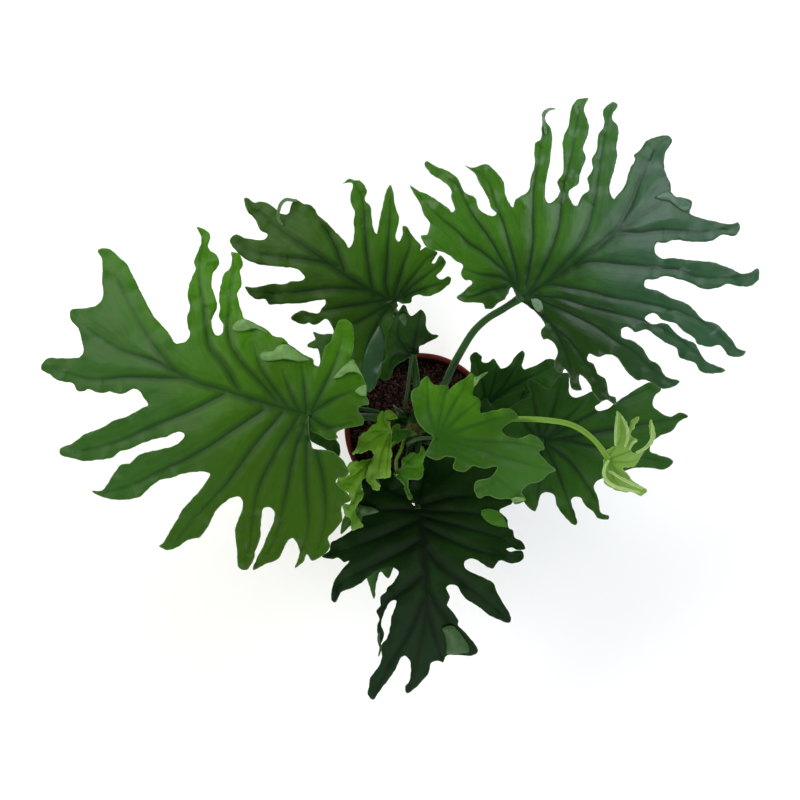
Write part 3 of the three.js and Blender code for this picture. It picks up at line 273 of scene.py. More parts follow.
# Main veins, the midrib first, each from its inner end to a lobe's tip
veins = {
    "left": [
        [308, 414, 274.5, 406, 228, 391.5, 187, 378, 165, 360, 141, 326, 117, 280],
        [187, 378, 156, 362, 117, 348, 88, 328.5],
        [187, 378, 165, 378, 129, 377, 93, 379, 56, 370],
        [238, 389, 223.6, 365, 209, 345, 204, 309, 199, 273, 203, 240],
        [277, 401, 231, 345, 228.5, 309, 234, 262],
        [287, 406, 262, 370, 253, 345],
        [299, 411, 289, 389, 282, 370],
        [306, 411, 304, 384, 301, 365],
        [311, 411, 325, 384, 337.5, 355, 342, 336],
        [311, 413, 333, 399, 357, 389],
        [224, 394, 190, 411, 156, 425, 117, 442, 75, 452],
        [262, 411, 233, 430, 199, 452, 165, 469, 129, 486, 104, 493],
        [282, 413, 253, 447, 226, 484, 199, 513, 177.5, 539],
        [299, 416, 274.5, 454.5, 257.5, 491, 250, 539, 246, 560],
        [306, 418, 294, 454.5, 284, 503, 274.5, 539, 266, 555],
        [308, 423, 306, 479, 308, 527, 300, 556],
        [311, 430, 323, 479, 325, 522, 318, 548],
        [312, 418, 330, 428, 352, 422],
    ],
    "rear_left": [
        [392, 301, 363.5, 286, 338, 270, 316, 254, 284, 232, 262, 215, 247, 200],
        [338, 266, 318, 261, 290, 257.5, 262, 254, 236, 243],
        [372, 290, 345, 288, 310, 290, 280, 293, 250, 292],
        [385, 300, 355, 305, 325, 310, 296, 317],
        [392, 303, 380, 320, 368, 345, 366, 370, 369, 390],
        [390, 303, 365, 318, 340, 328, 330, 330],
        [344, 270, 337, 250, 328, 232, 320, 222, 316, 212, 303, 204],
        [374, 296, 371, 280, 367, 255, 365, 235, 364, 210, 361, 195, 355, 183],
        [391, 300, 386, 285, 387, 262, 388, 240, 390, 215, 390, 190],
        [393, 300, 399, 280, 404, 262, 410, 244, 407, 230],
        [395, 300, 410, 280, 424, 262, 433, 252],
        [396, 300, 415, 284, 430, 272, 442, 262],
        [397, 300, 420, 290, 440, 283, 450, 278],
    ],
    "rear_right": [
        [519, 299, 545, 284, 575, 264, 600, 245, 618, 230, 640, 215, 655, 207, 670, 199, 688, 203],
        [618, 230, 633, 200, 640, 180, 647, 165, 657, 145, 668, 138],
        [619, 232, 640, 233, 655, 231, 680, 231, 700, 232, 738, 225],
        [572, 266, 590, 262, 620, 264, 640, 266, 660, 268, 680, 270, 700, 277, 757, 275],
        [519, 299, 545, 285, 570, 288, 590, 291, 610, 297, 630, 300, 650, 304, 680, 312, 700, 320,
         716, 332, 742, 352],
        [535, 296, 560, 298, 580, 304, 600, 309, 620, 314, 640, 320, 660, 327, 680, 340, 698, 354,
         720, 370],
        [530, 298, 555, 306, 575, 316, 595, 326, 615, 340, 635, 352, 655, 372, 676, 384],
        [522, 300, 536, 310, 548, 322, 560, 332, 570, 341, 582, 357, 592, 370, 608, 398],
        [540, 313, 553, 328, 563, 345, 570, 365, 576, 386],
        [515, 285, 505, 272, 490, 258, 480, 250, 470, 244, 455, 229, 441, 218, 412, 187],
        [517, 290, 511, 278, 503, 262, 495, 247, 487, 234, 478, 222, 470, 210, 458, 187, 428, 163],
        [519, 290, 516, 270, 511, 250, 508, 240, 503, 222, 497, 208, 487, 180, 470, 167],
        [526, 285, 529, 268, 532, 250, 533, 235, 533, 195, 540, 150, 545, 125],
        [527, 295, 537, 280, 546, 262, 553, 245, 558, 228, 561, 205, 565, 180, 570, 160, 580, 105],
        [530, 295, 545, 283, 560, 268, 575, 250, 586, 230, 592, 210, 597, 185, 600, 160, 606, 130,
         612, 105],
        [512, 284, 500, 277, 480, 274, 462, 268],
        [505, 288, 490, 290, 470, 297, 458, 298],
    ],
    "front": [
        [418, 507, 422, 530, 425, 560, 426, 610, 418, 655, 408, 690],
        [424, 600, 408, 635, 390, 665, 374, 696],
        [423, 575, 405, 590, 388, 603, 380, 620, 380, 640],
        [421, 540, 395, 555, 360, 572, 340, 585, 334, 600],
        [419, 520, 390, 533, 360, 545, 326, 556],
        [417, 510, 395, 510, 362, 512],
        [416, 505, 400, 495, 380, 485, 364, 479],
        [426, 610, 434, 635, 442, 658],
        [425, 585, 440, 610, 455, 630, 474, 650],
        [422, 545, 445, 570, 475, 592, 508, 620],
        [420, 525, 450, 540, 485, 553, 520, 557],
        [419, 515, 455, 525, 490, 535, 520, 544],
        [419, 510, 450, 512, 480, 515, 505, 524],
        [420, 506, 450, 498, 480, 497, 510, 501],
        [418, 503, 422, 485, 432, 460],
    ],
    "right": [
        [541, 441, 580, 435, 620, 428, 655, 422, 686, 416],
        [541, 441, 536, 415, 531, 382],
        [541, 441, 553, 410, 562, 376],
        [543, 441, 565, 420, 588, 397],
        [545, 440, 580, 420, 615, 403, 652, 387],
        [560, 438, 600, 448, 640, 457, 670, 462],
        [545, 442, 570, 462, 590, 490, 605, 516],
        [543, 443, 556, 468, 566, 495, 576, 522],
        [541, 443, 541, 470, 536, 508],
        [538, 442, 525, 445, 512, 452],
        [539, 440, 526, 425, 514, 408],
    ],
    "middle": [
        [436, 438, 480, 450, 515, 461, 553, 470],
        [436, 436, 429, 410, 427, 380],
        [437, 435, 441, 412, 446, 390],
        [438, 436, 452, 408, 470, 376],
        [439, 437, 458, 418, 477, 402],
        [441, 438, 475, 425, 515, 413],
        [442, 439, 480, 441, 515, 443, 542, 447],
        [441, 442, 470, 460, 500, 480, 521, 500],
        [486, 471, 492, 482, 482, 489],
        [438, 442, 450, 455, 463, 469],
        [436, 441, 437, 457],
    ],
    "rear_small": [
        [486, 404, 515, 385, 558, 363],
        [486, 404, 482, 380, 475, 355],
        [486, 404, 494, 382, 497, 364],
        [487, 404, 505, 384, 522, 354],
        [487, 406, 520, 396, 550, 380],
    ],
    "inner_rear": [
        [412, 356, 416, 335, 420, 312],
        [411, 356, 398, 335, 403, 307],
        [411, 357, 395, 355, 387, 376],
        [413, 355, 425, 343, 436, 337],
    ],
    "under_left": [
        [356, 410, 330, 385, 308, 350],
        [355, 407, 344, 380, 334, 336],
        [354, 411, 330, 402, 305, 393],
        [354, 413, 332, 422, 314, 440],
        [355, 414, 345, 430, 339, 452],
    ],
    "under_front": [
        [387, 500, 380, 550, 374, 597],
        [386, 500, 365, 508, 342, 532],
        [388, 500, 395, 535, 392, 566],
        [385, 500, 362, 540, 366, 570],
    ],
    "young_centre": [
        [390, 430, 372, 440, 355, 453],
        [389, 430, 383, 420, 384, 413],
        [389, 431, 372, 432, 360, 438],
        [390, 432, 380, 460, 378, 488],
        [391, 433, 388, 455, 386, 476],
    ],
    "young_left": [
        [373, 461, 358, 490, 352, 528],
        [372, 461, 358, 464, 349, 470],
        [372, 461, 354, 476, 340, 482],
        [372, 462, 362, 490, 352, 505],
    ],
    "young_right": [
        [396, 473, 405, 482, 410, 499],
        [397, 473, 408, 462, 420, 450],
        [397, 474, 410, 468, 422, 474],
    ],
    "young_inner": [
        [396, 431, 406, 432, 417, 434.5],
        [396, 431, 400, 437, 402, 441],
    ],
    "unfurling": [
        [607, 457, 620, 476, 645, 492],
        [608, 456, 620, 440, 621, 418],
        [612, 458, 632, 450, 645, 440, 652, 425],
        [609, 460, 611, 474, 622, 488],
        [614, 462, 628, 462, 638, 460],
    ],
}

# One entry a leaf. joint and tip are the middle lobe's ends. along, bend, roll and cup say in mm
# how the leaf leaves the level over one length of that lobe. bulge is how far the blade swells
# between its veins, ripple how far its margin waves, and vein the midrib's half width. lean says
# which side gets painted light: that side's lamina is painted brighter, as if lit through from behind.
leafForms = {
    "left": {"joint": (309, 413), "tip": (41, 369), "rise": 190, "along": -20, "bend": -60,
             "roll": 8, "cup": -60, "finish": "midGreen", "bulge": 3.4, "ripple": 3.2,
             "vein": 2.3, "lean": -1.2},
    "rear_left": {"joint": (391, 301), "tip": (246, 199), "rise": 150, "along": -5, "bend": -35,
                  "roll": -10, "cup": -30, "finish": "deepGreen", "bulge": 2.8, "ripple": 2.6,
                  "vein": 2.3, "lean": -1},
    "rear_right": {"joint": (520, 298), "tip": (690, 203), "rise": 230, "along": -10, "bend": -50,
                   "roll": 10, "cup": -50, "finish": "blueGreen", "bulge": 3.2, "ripple": 2.3,
                   "vein": 1.9, "lean": 1},
    "front": {"joint": (418, 506), "tip": (408, 692), "rise": 95, "along": -15, "bend": -85,
              "roll": -8, "cup": -40, "finish": "shadeGreen", "bulge": 2.8, "ripple": 2.6,
              "vein": 2.2, "lean": 0.2},
    "right": {"joint": (541, 441), "tip": (688, 416.5), "rise": 75, "along": 0, "bend": -60,
              "roll": 8, "cup": -40, "finish": "lowGreen", "bulge": 2.8, "ripple": 2.4,
              "vein": 1.8, "lean": -0.3},
    "middle": {"joint": (435, 438), "tip": (556, 470), "rise": 160, "along": -5, "bend": -20,
               "roll": -6, "cup": -10, "finish": "freshGreen", "bulge": 3.4, "ripple": 2.8,
               "vein": 1.9, "lean": 0.9},
    "rear_small": {"joint": (486, 404), "tip": (552, 362), "rise": 40, "along": 0, "bend": -15,
                   "roll": 4, "cup": -10, "finish": "lowGreen", "bulge": 1.8, "ripple": 1.5,
                   "vein": 1.1, "lean": 0.2},
    "inner_rear": {"joint": (412, 356), "tip": (420, 311), "rise": 100, "along": 15, "bend": 5,
                   "roll": 3, "cup": -5, "finish": "lowGreen", "bulge": 1.6, "ripple": 1.3,
                   "vein": 1.0, "lean": 0.3},
    "under_left": {"joint": (356, 410), "tip": (306, 349), "rise": 42, "along": -5, "bend": -20,
                   "roll": -4, "cup": -10, "finish": "lowGreen", "bulge": 1.8, "ripple": 1.4,
                   "vein": 1.1, "lean": 0},
    "under_front": {"joint": (387, 500), "tip": (374, 599), "rise": 18, "along": -10, "bend": -40,
                    "roll": 5, "cup": -10, "finish": "midGreen", "bulge": 1.8, "ripple": 1.4,
                    "vein": 1.1, "lean": 0},
    "young_centre": {"joint": (390, 430), "tip": (353, 454.5), "rise": 130, "along": -5, "bend": -8,
                     "roll": 3, "cup": -6, "finish": "youngGreen", "bulge": 2.2, "ripple": 2.4,
                     "vein": 0.7, "lean": 0.5},
    "young_left": {"joint": (373, 461), "tip": (352, 530), "rise": 112, "along": -5, "bend": -10,
                   "roll": -3, "cup": 0, "finish": "youngGreen", "bulge": 2.2, "ripple": 2.4,
                   "vein": 0.7, "lean": 0.3},
    "young_right": {"joint": (396, 473), "tip": (410, 500), "rise": 125, "along": -5, "bend": 0,
                    "roll": 2, "cup": 0, "finish": "freshGreen", "bulge": 1.8, "ripple": 1.8,
                    "vein": 0.7, "lean": 0.3},
    "young_inner": {"joint": (396, 431), "tip": (418, 434), "rise": 100, "along": 0, "bend": 0,
                    "roll": 1, "cup": 0, "finish": "freshGreen", "bulge": 1.2, "ripple": 1.0,
                    "vein": 0.6, "lean": 0},
    "unfurling": {"joint": (607, 457), "tip": (645, 492), "rise": 148, "along": 4, "bend": -6,
                  "roll": 2, "cup": 12, "finish": "newestGreen", "bulge": 3.0, "ripple": 1.6,
                  "vein": 0.7, "lean": 0.4},
}

# Lobes whose edge has turned over, so that the pale underside shows, or that stand in front of
# their own leaf. Each is drawn between an upper and a lower edge, and rises lift mm off the blade.
folds = {
    "left": [
        {"upper": [232, 326.5, 236.5, 321.3, 243.5, 319, 251.5, 321.3, 260.5, 327.5, 267, 332],
         "lower": [232.5, 329.5, 238, 331.3, 246, 330.3, 255, 328.5, 260, 330.3, 267, 333], "lift": 3.5},
        {"upper": [259.5, 354, 264, 351.3, 273, 351, 277.5, 346, 286, 344.3, 293, 348, 301, 354,
                   308, 358.5],
         "lower": [260, 357.5, 264, 360.5, 272, 360.5, 284, 359, 292, 360, 299, 361.5, 304, 361,
                   309, 360], "lift": 4.5},
        {"upper": [333, 377.5, 340, 369.5, 347, 363, 353, 360, 356, 364.5, 360, 371, 363, 376.5],
         "lower": [334, 379, 341, 377, 347, 373, 352, 372, 356, 372.5, 360, 374.5, 363, 378],
         "lift": 4.0},
        {"upper": [355, 390.5, 358.5, 387.3, 363, 385.3, 366, 385],
         "lower": [355.5, 392, 359, 394.8, 363, 396, 366.5, 395.5], "lift": 2.5},
    ],
    "rear_left": [
        # This drooping lobe is coloured as a painted sheen
        {"upper": [379, 325, 370, 340, 364, 356, 363, 373, 368.5, 391],
         "lower": [379.5, 325, 384, 338, 383.5, 355, 380, 372, 369.5, 391.5], "lift": 0.6,
         "finish": "paintedSheenGreen"},
    ],
    "rear_right": [
        # This lobe end is coloured as a painted sheen
        {"upper": [656, 196, 664, 191.5, 670, 191, 675, 196, 684, 199, 690.5, 203],
         "lower": [656, 198, 662, 200, 669, 201, 677, 206.5, 684, 211.5, 689.5, 211], "lift": 1.2,
         "finish": "paintedSheenGreen"},
        {"upper": [531, 299, 536, 298.5, 541, 301, 543, 306],
         "lower": [532, 304, 535, 309, 539, 312, 543, 309], "lift": 3.0},
    ],
    "front": [
        {"upper": [358.5, 505, 364, 505.8, 373, 507.3, 379, 510.5],
         "lower": [360, 518.5, 364, 516, 373, 514, 379, 512], "lift": 2.5},
        {"upper": [442, 628, 447, 625.8, 453, 626, 458.5, 631, 464, 638.5, 469, 646, 469, 652],
         "lower": [442.5, 630, 445, 637, 446.3, 646, 446.5, 654, 455, 654, 462, 653.3, 468.5, 652.7],
         "lift": 5.0},
        {"upper": [481, 510, 485, 508.8, 492, 509, 499, 511.5, 503.5, 517, 507, 524],
         "lower": [481, 515, 484.5, 519.5, 489.5, 523.5, 496, 526, 502, 527, 507.5, 527.5],
         "lift": 2.0, "finish": "freshGreen"},
    ],
    "middle": [
        {"upper": [473.5, 382, 474.5, 377, 477.5, 377, 482, 374, 487.5, 371.8],
         "lower": [474, 386.5, 477, 384, 479, 380.5, 483, 376, 488, 372.5], "lift": 2.5},
        {"upper": [511, 498, 516, 497, 524, 498], "lower": [513, 503, 519, 502, 525, 500],
         "lift": 2.0},
    ],
    "rear_small": [
        {"upper": [480.5, 402, 482.5, 398.5, 487.5, 398, 491, 403.5, 495.5, 399.5, 502, 396.5,
                   510, 392.7, 518, 389.8, 525, 387.5],
         "lower": [481, 413, 486, 415, 491, 415.5, 497, 415.5, 503, 415, 508, 413.5, 513, 411,
                   518, 403, 522, 393], "lift": 4.0, "finish": "lowGreen"},
    ],
    "inner_rear": [
        {"upper": [399.5, 315, 402, 312.8, 405.5, 314, 407, 319, 406, 325],
         "lower": [398.5, 318, 400.5, 321, 402.5, 323.5, 404, 325.5, 405.5, 326], "lift": 2.0},
    ],
    "young_centre": [
        {"upper": [384.5, 411.5, 387.5, 409.8, 392, 411, 395.5, 414.5, 398, 417.5],
         "lower": [384.8, 417.5, 388, 419.5, 392, 419.5, 395, 419, 398, 418.3], "lift": 2.0,
         "finish": "youngGreen"},
    ],
}

# Thin curled lobe ends: across, down and mm above the blade, then the ribbon's width in mm
curls = {
    "rear_left": [
        {"path": [(297, 200.5, 1), (292, 200, 4), (286, 199.5, 7), (281.5, 203, 9), (279, 209, 8),
                  (278, 216, 6), (280, 222, 3), (283, 225, 1)], "width": 3.4},
    ],
    "rear_right": [
        {"path": [(546, 134, 1), (545, 126, 2), (543.5, 119, 4), (545.5, 112.5, 5), (550, 109.3, 5),
                  (555, 108.6, 4)], "width": 2.4},
    ],
    "front": [
        {"path": [(379, 633, 0), (378.5, 640, 3), (380.5, 648, 3), (378.5, 656.5, 4)], "width": 2.2},
        {"path": [(372, 474, 1), (376, 479, 3), (379, 485, 3), (378, 490, 4)], "width": 3.0},
    ],
    "unfurling": [
        {"path": [(609, 460, 3), (604.5, 468, 5), (605, 478, 6), (613, 485.5, 6), (626, 489.5, 5),
                  (640, 492.5, 3)], "width": 3.2},
        {"path": [(609, 471, 2), (617, 476, 4), (627, 481.5, 5), (637, 486.5, 4), (643, 489.5, 3)],
         "width": 2.4},
        {"path": [(615.5, 446, 3), (615.5, 436, 5), (616, 425, 6), (617.5, 413.5, 5)], "width": 2.0},
        {"path": [(625, 447, 3), (627.5, 438, 5), (627, 428, 6), (621.5, 416.5, 4)], "width": 2.2},
        {"path": [(636, 453, 3), (646, 447.5, 5), (652, 438, 6), (651.5, 423, 5)], "width": 3.0},
        {"path": [(629, 450, 2), (633, 443, 4), (637, 441, 4)], "width": 2.0},
    ],
}

# Lamina by the joint, towards the tips (in part a painted sheen) and on the side painted as if lit
# through from behind, vein (also the colour of the painted shade beside the veins and by the joint),
# underside, and the light that comes through. sheen is the specular level, and the last value how
# much painted shade darkens the blade by its joint.
leafFinishes = {
    "midGreen": {"near": "#34560f", "far": "#345c24", "paintedLitGreen": "#447c0e", "vein": "#183612",
                 "under": "#6c9452", "through": "#6cac24", "roughness": 0.42, "sheen": 0.14, "heart": 0.4},
    "deepGreen": {"near": "#2c4c10", "far": "#36581c", "paintedLitGreen": "#3e7016", "vein": "#0d240c",
                  "under": "#5f8050", "through": "#569222", "roughness": 0.46, "sheen": 0.12, "heart": 0.4},
    "blueGreen": {"near": "#1d3a0d", "far": "#305436", "paintedLitGreen": "#3e7216", "vein": "#0f2a10",
                  "under": "#6c8a6a", "through": "#5c9a28", "roughness": 0.38, "sheen": 0.24, "heart": 0.3},
    # Grey-blue lamina for lobes that catch a reflection: painted sheen
    "paintedSheenGreen": {"near": "#2a4a2c", "far": "#3b6044", "paintedLitGreen": "#476a4c", "vein": "#1c3824",
                   "under": "#86a284", "through": "#5c9a28", "roughness": 0.36, "sheen": 0.34, "heart": 0.0},
    "shadeGreen": {"near": "#0b1f09", "far": "#172f16", "paintedLitGreen": "#22440f", "vein": "#061206",
                   "under": "#34582a", "through": "#2f5a1a", "roughness": 0.48, "sheen": 0.05, "heart": 0.3},
    "lowGreen": {"near": "#1c3c10", "far": "#2a5216", "paintedLitGreen": "#345f16", "vein": "#0e2410",
                 "under": "#4f7046", "through": "#4a8622", "roughness": 0.46, "sheen": 0.12, "heart": 0.2},
    "freshGreen": {"near": "#2a500c", "far": "#3c6624", "paintedLitGreen": "#4f8a15", "vein": "#2a5616",
                   "under": "#7d9f60", "through": "#7cb82e", "roughness": 0.44, "sheen": 0.16, "heart": 0.08},
    "youngGreen": {"near": "#5e9016", "far": "#5c8824", "paintedLitGreen": "#78a428", "vein": "#426f1a",
                   "under": "#8fae6a", "through": "#96c83c", "roughness": 0.44, "sheen": 0.2, "heart": 0.0},
    "newestGreen": {"near": "#6a9236", "far": "#7ea04c", "paintedLitGreen": "#86aa50", "vein": "#55802c",
                    "under": "#a8c67e", "through": "#b4dc68", "roughness": 0.46, "sheen": 0.25, "heart": 0.0},
}

# angle and root say where a stalk leaves the stem, root in mm above the rim. The route is drawn
# as the leaves are, with each point's rise.
stalkForms = {
    "left": {"angle": 140, "root": 14, "radius": 4.2, "finish": "stalkGreen",
             "route": [(392, 419.5, 36), (375, 417.5, 80), (345, 416, 135), (320, 414, 175)]},
    "rear_left": {"angle": 90, "root": 27, "radius": 3.8, "finish": "stalkGreen",
                  "route": [(418, 405, 55), (417, 390, 76), (414, 362, 88), (405, 333, 90),
                            (396, 314, 108)]},
    "rear_right": {"angle": 30, "root": 27, "radius": 4.0, "finish": "stalkGreen",
                   "route": [(432, 408, 65), (443, 388, 105), (452, 368, 128), (463, 348, 150),
                             (474, 331, 170), (488, 318, 190), (503, 309, 208)]},
    "front": {"angle": -70, "root": 14, "radius": 3.4, "finish": "stalkGreen",
              "route": [(417, 460, 58), (417, 485, 82)]},
    "right": {"angle": -8, "root": 2, "radius": 3.4, "finish": "stalkGreen",
              "route": [(450, 438, 28), (490, 443, 54), (525, 442, 68)]},
    "middle": {"angle": -110, "root": 27, "radius": 2.1, "finish": "stalkGreen",
               "route": [(409, 443, 85), (414, 440.5, 128), (424, 438, 149)]},
    "rear_small": {"angle": 25, "root": 2, "radius": 2.4, "finish": "stalkGreen",
                   "route": [(445, 416, 18), (470, 408, 31)]},
    "inner_rear": {"angle": 105, "root": 14, "radius": 2.3, "finish": "stalkGreen",
                   "route": [(405, 410, 40), (408, 388, 75)]},
    "under_left": {"angle": 165, "root": 2, "radius": 2.4, "finish": "stalkGreen",
                   "route": [(385, 415, 20), (370, 410, 33)]},
    "under_front": {"angle": -100, "root": 2, "radius": 2.3, "finish": "stalkGreen",
                    "route": [(402, 470, 8), (392, 490, 13)]},
    "young_centre": {"angle": 195, "root": 20, "radius": 1.7, "finish": "paleStalk",
                     "route": [(394, 434, 60), (390, 432.5, 105)]},
    "young_left": {"angle": -150, "root": 2, "radius": 1.8, "finish": "paleStalk",
                   "route": [(392, 445, 45), (382, 454, 84)]},
    "young_right": {"angle": -130, "root": 14, "radius": 1.8, "finish": "paleStalk",
                    "route": [(401, 450, 65), (396, 462, 104)]},
    "young_inner": {"angle": 180, "root": 30, "radius": 1.5, "finish": "paleStalk",
                    "route": [(397, 430, 60), (396, 430.5, 86)]},
    "unfurling": {"angle": 10, "root": 14, "radius": 3.1, "finish": "paleStalk",
                  "route": [(445, 422, 60), (480, 418, 105), (520, 419, 127), (545, 420, 138),
                            (572, 425, 143), (592, 438, 145)]},
}


def srgb(code):
    # One hex colour as linear red, green, blue and alpha
    channels = [int(code[i:i + 2], 16) / 255 for i in (1, 3, 5)]
    linear = [c / 12.92 if c <= 0.04045 else ((c + 0.055) / 1.055) ** 2.4 for c in channels]
    return (*linear, 1.0)


def addNode(tree, kind, settings):
    # A setting is one of the node's own properties, or else an input, by name or by place, with
    # its value or the node or output that feeds it
    node = tree.nodes.new(kind)
    for key, value in settings.items():
        if isinstance(key, str) and hasattr(node, key):
            setattr(node, key, value)
            continue
        if isinstance(value, bpy.types.Node):
            value = next(output for output in value.outputs if output.enabled)
        if isinstance(value, bpy.types.NodeSocket):
            tree.links.new(value, node.inputs[key])
        else:
            node.inputs[key].default_value = value
    return node


def startMaterial(name):
    # A bare material, its node maker and its Object coordinates
    material = bpy.data.materials.new(name)
    material.use_nodes = True
    material.node_tree.nodes.clear()
    add = partial(addNode, material.node_tree)
    return material, add, add("ShaderNodeTexCoord", {}).outputs["Object"]


# Waxy leaf tissue: an even satin face whose green changes softly over a few centimetres, with painted
# shade in the creases along its sunken veins and by the joint, one side painted brighter as if lit
# through from behind and a painted sheen in part towards the tips, streaked lengthwise every 3 mm or
# so, with a thin paler margin. Its underside is duller and paler, with the veins standing out.
def makeLeafSkin(name, finish, under):
    material, add, here = startMaterial(name)
    facts = {key: add("ShaderNodeAttribute", {"attribute_name": key}).outputs["Fac"]
             for key in ("veinDistance", "veinWidth", "veinAlong", "veinStrength", "edgeDistance",
                         "tone", "glow", "heart")}
    distance = facts["veinDistance"]
    ratio = add("ShaderNodeMath", {"operation": "DIVIDE", 0: distance, 1: facts["veinWidth"]})
    soft = {"interpolation_type": "SMOOTHSTEP"}
    strength = facts["veinStrength"]
    core = add("ShaderNodeMapRange", {**soft, 0: ratio, 1: 0.0, 2: 0.8, 3: strength, 4: 0.0})
    # The halo reaches about four vein widths from a vein: it paints shade into the creases beside the veins,
    # and it also dims the light that comes through there
    halo = add("ShaderNodeMapRange", {**soft, 0: ratio, 1: 0.0, 2: 4.2, 3: strength, 4: 0.0})
    broad = add("ShaderNodeTexNoise", {"Vector": here, "Scale": 1 / (42 * mm), "Detail": 2.0})
    mottle = add("ShaderNodeTexNoise", {"Vector": here, "Scale": 1 / (6 * mm), "Detail": 3.0})
    grain = add("ShaderNodeTexNoise", {"Vector": here, "Scale": 1 / (0.8 * mm), "Detail": 2.0})
    lengthwise = add("ShaderNodeCombineXYZ", {0: distance, 1: facts["veinAlong"], 2: facts["tone"]})
    stretched = add("ShaderNodeMapping", {"Vector": lengthwise, "Scale": (0.33, 0.03, 0.0)})
    streak = add("ShaderNodeTexNoise", {"Vector": stretched, "Scale": 1.0, "Detail": 2.0})
    drift = add("ShaderNodeMath", {"operation": "MULTIPLY_ADD", 0: broad, 1: 0.7, 2: -0.35})
    tone = add("ShaderNodeMath", {"operation": "ADD", 0: facts["tone"], 1: drift})
    # Painted light: one side of the lamina is painted brighter, as if lit through from behind, less towards
    # the tips
    glow = add("ShaderNodeMath", {"operation": "ADD", 0: facts["glow"], 1: drift})
    reach = add("ShaderNodeMapRange", {**soft, 0: tone, 1: 0.05, 2: 0.95})
    mix = {"data_type": "RGBA"}
    if under:
        stain = add("ShaderNodeMapRange", {**soft, 0: mottle, 1: 0.3, 2: 0.7, 4: 0.4})
        skin = add("ShaderNodeMix", {**mix, 0: stain, 6: srgb(finish["under"]), 7: srgb(finish["far"])})
        veined = add("ShaderNodeMath", {"operation": "MULTIPLY", 0: core, 1: 0.45})
        skin = add("ShaderNodeMix", {**mix, 0: veined, 6: skin, 7: srgb("#b4c898")})
        relief = add("ShaderNodeMath", {"operation": "MULTIPLY_ADD", 0: grain, 1: 0.2, 2: core.outputs[0]})
    else:
        # Near to far along the leaf: the far colour is in part a painted sheen on the tips
        skin = add("ShaderNodeMix", {**mix, 0: reach, 6: srgb(finish["near"]), 7: srgb(finish["far"])})
        # The painted light mixes the lamina towards its painted backlit green
        lit = add("ShaderNodeMapRange", {**soft, 0: glow, 1: 0.1, 2: 1.0, 4: 0.9})
        skin = add("ShaderNodeMix", {**mix, 0: lit, 6: skin, 7: srgb(finish["paintedLitGreen"])})
        faint = add("ShaderNodeMapRange", {**soft, 0: streak, 1: 0.42, 2: 0.72, 4: 0.22})
        skin = add("ShaderNodeMix", {**mix, 0: faint, 6: skin, 7: srgb(finish["vein"])})
        patch = add("ShaderNodeMapRange", {**soft, 0: mottle, 1: 0.45, 2: 0.8, 4: 0.12})
        skin = add("ShaderNodeMix", {**mix, 0: patch, 6: skin, 7: srgb(finish["vein"])})
        # Painted shade in the creases beside the veins
        shade = add("ShaderNodeMath", {"operation": "MULTIPLY", 0: halo, 1: 0.68})
        skin = add("ShaderNodeMix", {**mix, 0: shade, 6: skin, 7: srgb(finish["vein"])})
        line = add("ShaderNodeMath", {"operation": "MULTIPLY", 0: core, 1: 0.62})
        skin = add("ShaderNodeMix", {**mix, 0: line, 6: skin, 7: srgb(finish["vein"])})
        # Painted shade: the blade is darkened towards its vein colour by the joint
        deep = add("ShaderNodeMath", {"operation": "MULTIPLY", 0: facts["heart"], 1: finish["heart"]})
        skin = add("ShaderNodeMix", {**mix, 0: deep, 6: skin, 7: srgb(finish["vein"])})
        rim = add("ShaderNodeMapRange", {**soft, 0: facts["edgeDistance"], 1: 0.2, 2: 1.3, 3: 0.3, 4: 0.0})
        skin = add("ShaderNodeMix", {**mix, 0: rim, 6: skin, 7: srgb(finish["under"])})
        relief = add("ShaderNodeMath", {"operation": "MULTIPLY_ADD", 0: grain, 1: 0.12,
                                        2: streak.outputs["Fac"]})
    bump = add("ShaderNodeBump", {"Strength": 0.35, "Distance": 0.5 * mm, "Height": relief})
    polish = add("ShaderNodeMapRange", {**soft, 0: broad, 1: 0.3, 2: 0.7, 3: finish["roughness"] - 0.03,
                                        4: finish["roughness"] + 0.06})
    face = add("ShaderNodeBsdfPrincipled",
               {"Base Color": skin, "Roughness": polish, "Normal": bump, "IOR": 1.42,
                "Specular IOR Level": 0.25 if under else finish["sheen"]})
    dark = add("ShaderNodeMath", {"operation": "MULTIPLY", 0: halo, 1: 0.75})
    lightThrough = add("ShaderNodeMix", {**mix, 0: dark, 6: srgb(finish["through"]),
                                         7: srgb(finish["vein"])})
    through = add("ShaderNodeBsdfTranslucent", {"Color": lightThrough, "Normal": bump})
    mixed = add("ShaderNodeMixShader", {0: 0.14, 1: face, 2: through})
    add("ShaderNodeOutputMaterial", {"Surface": mixed})
    return material


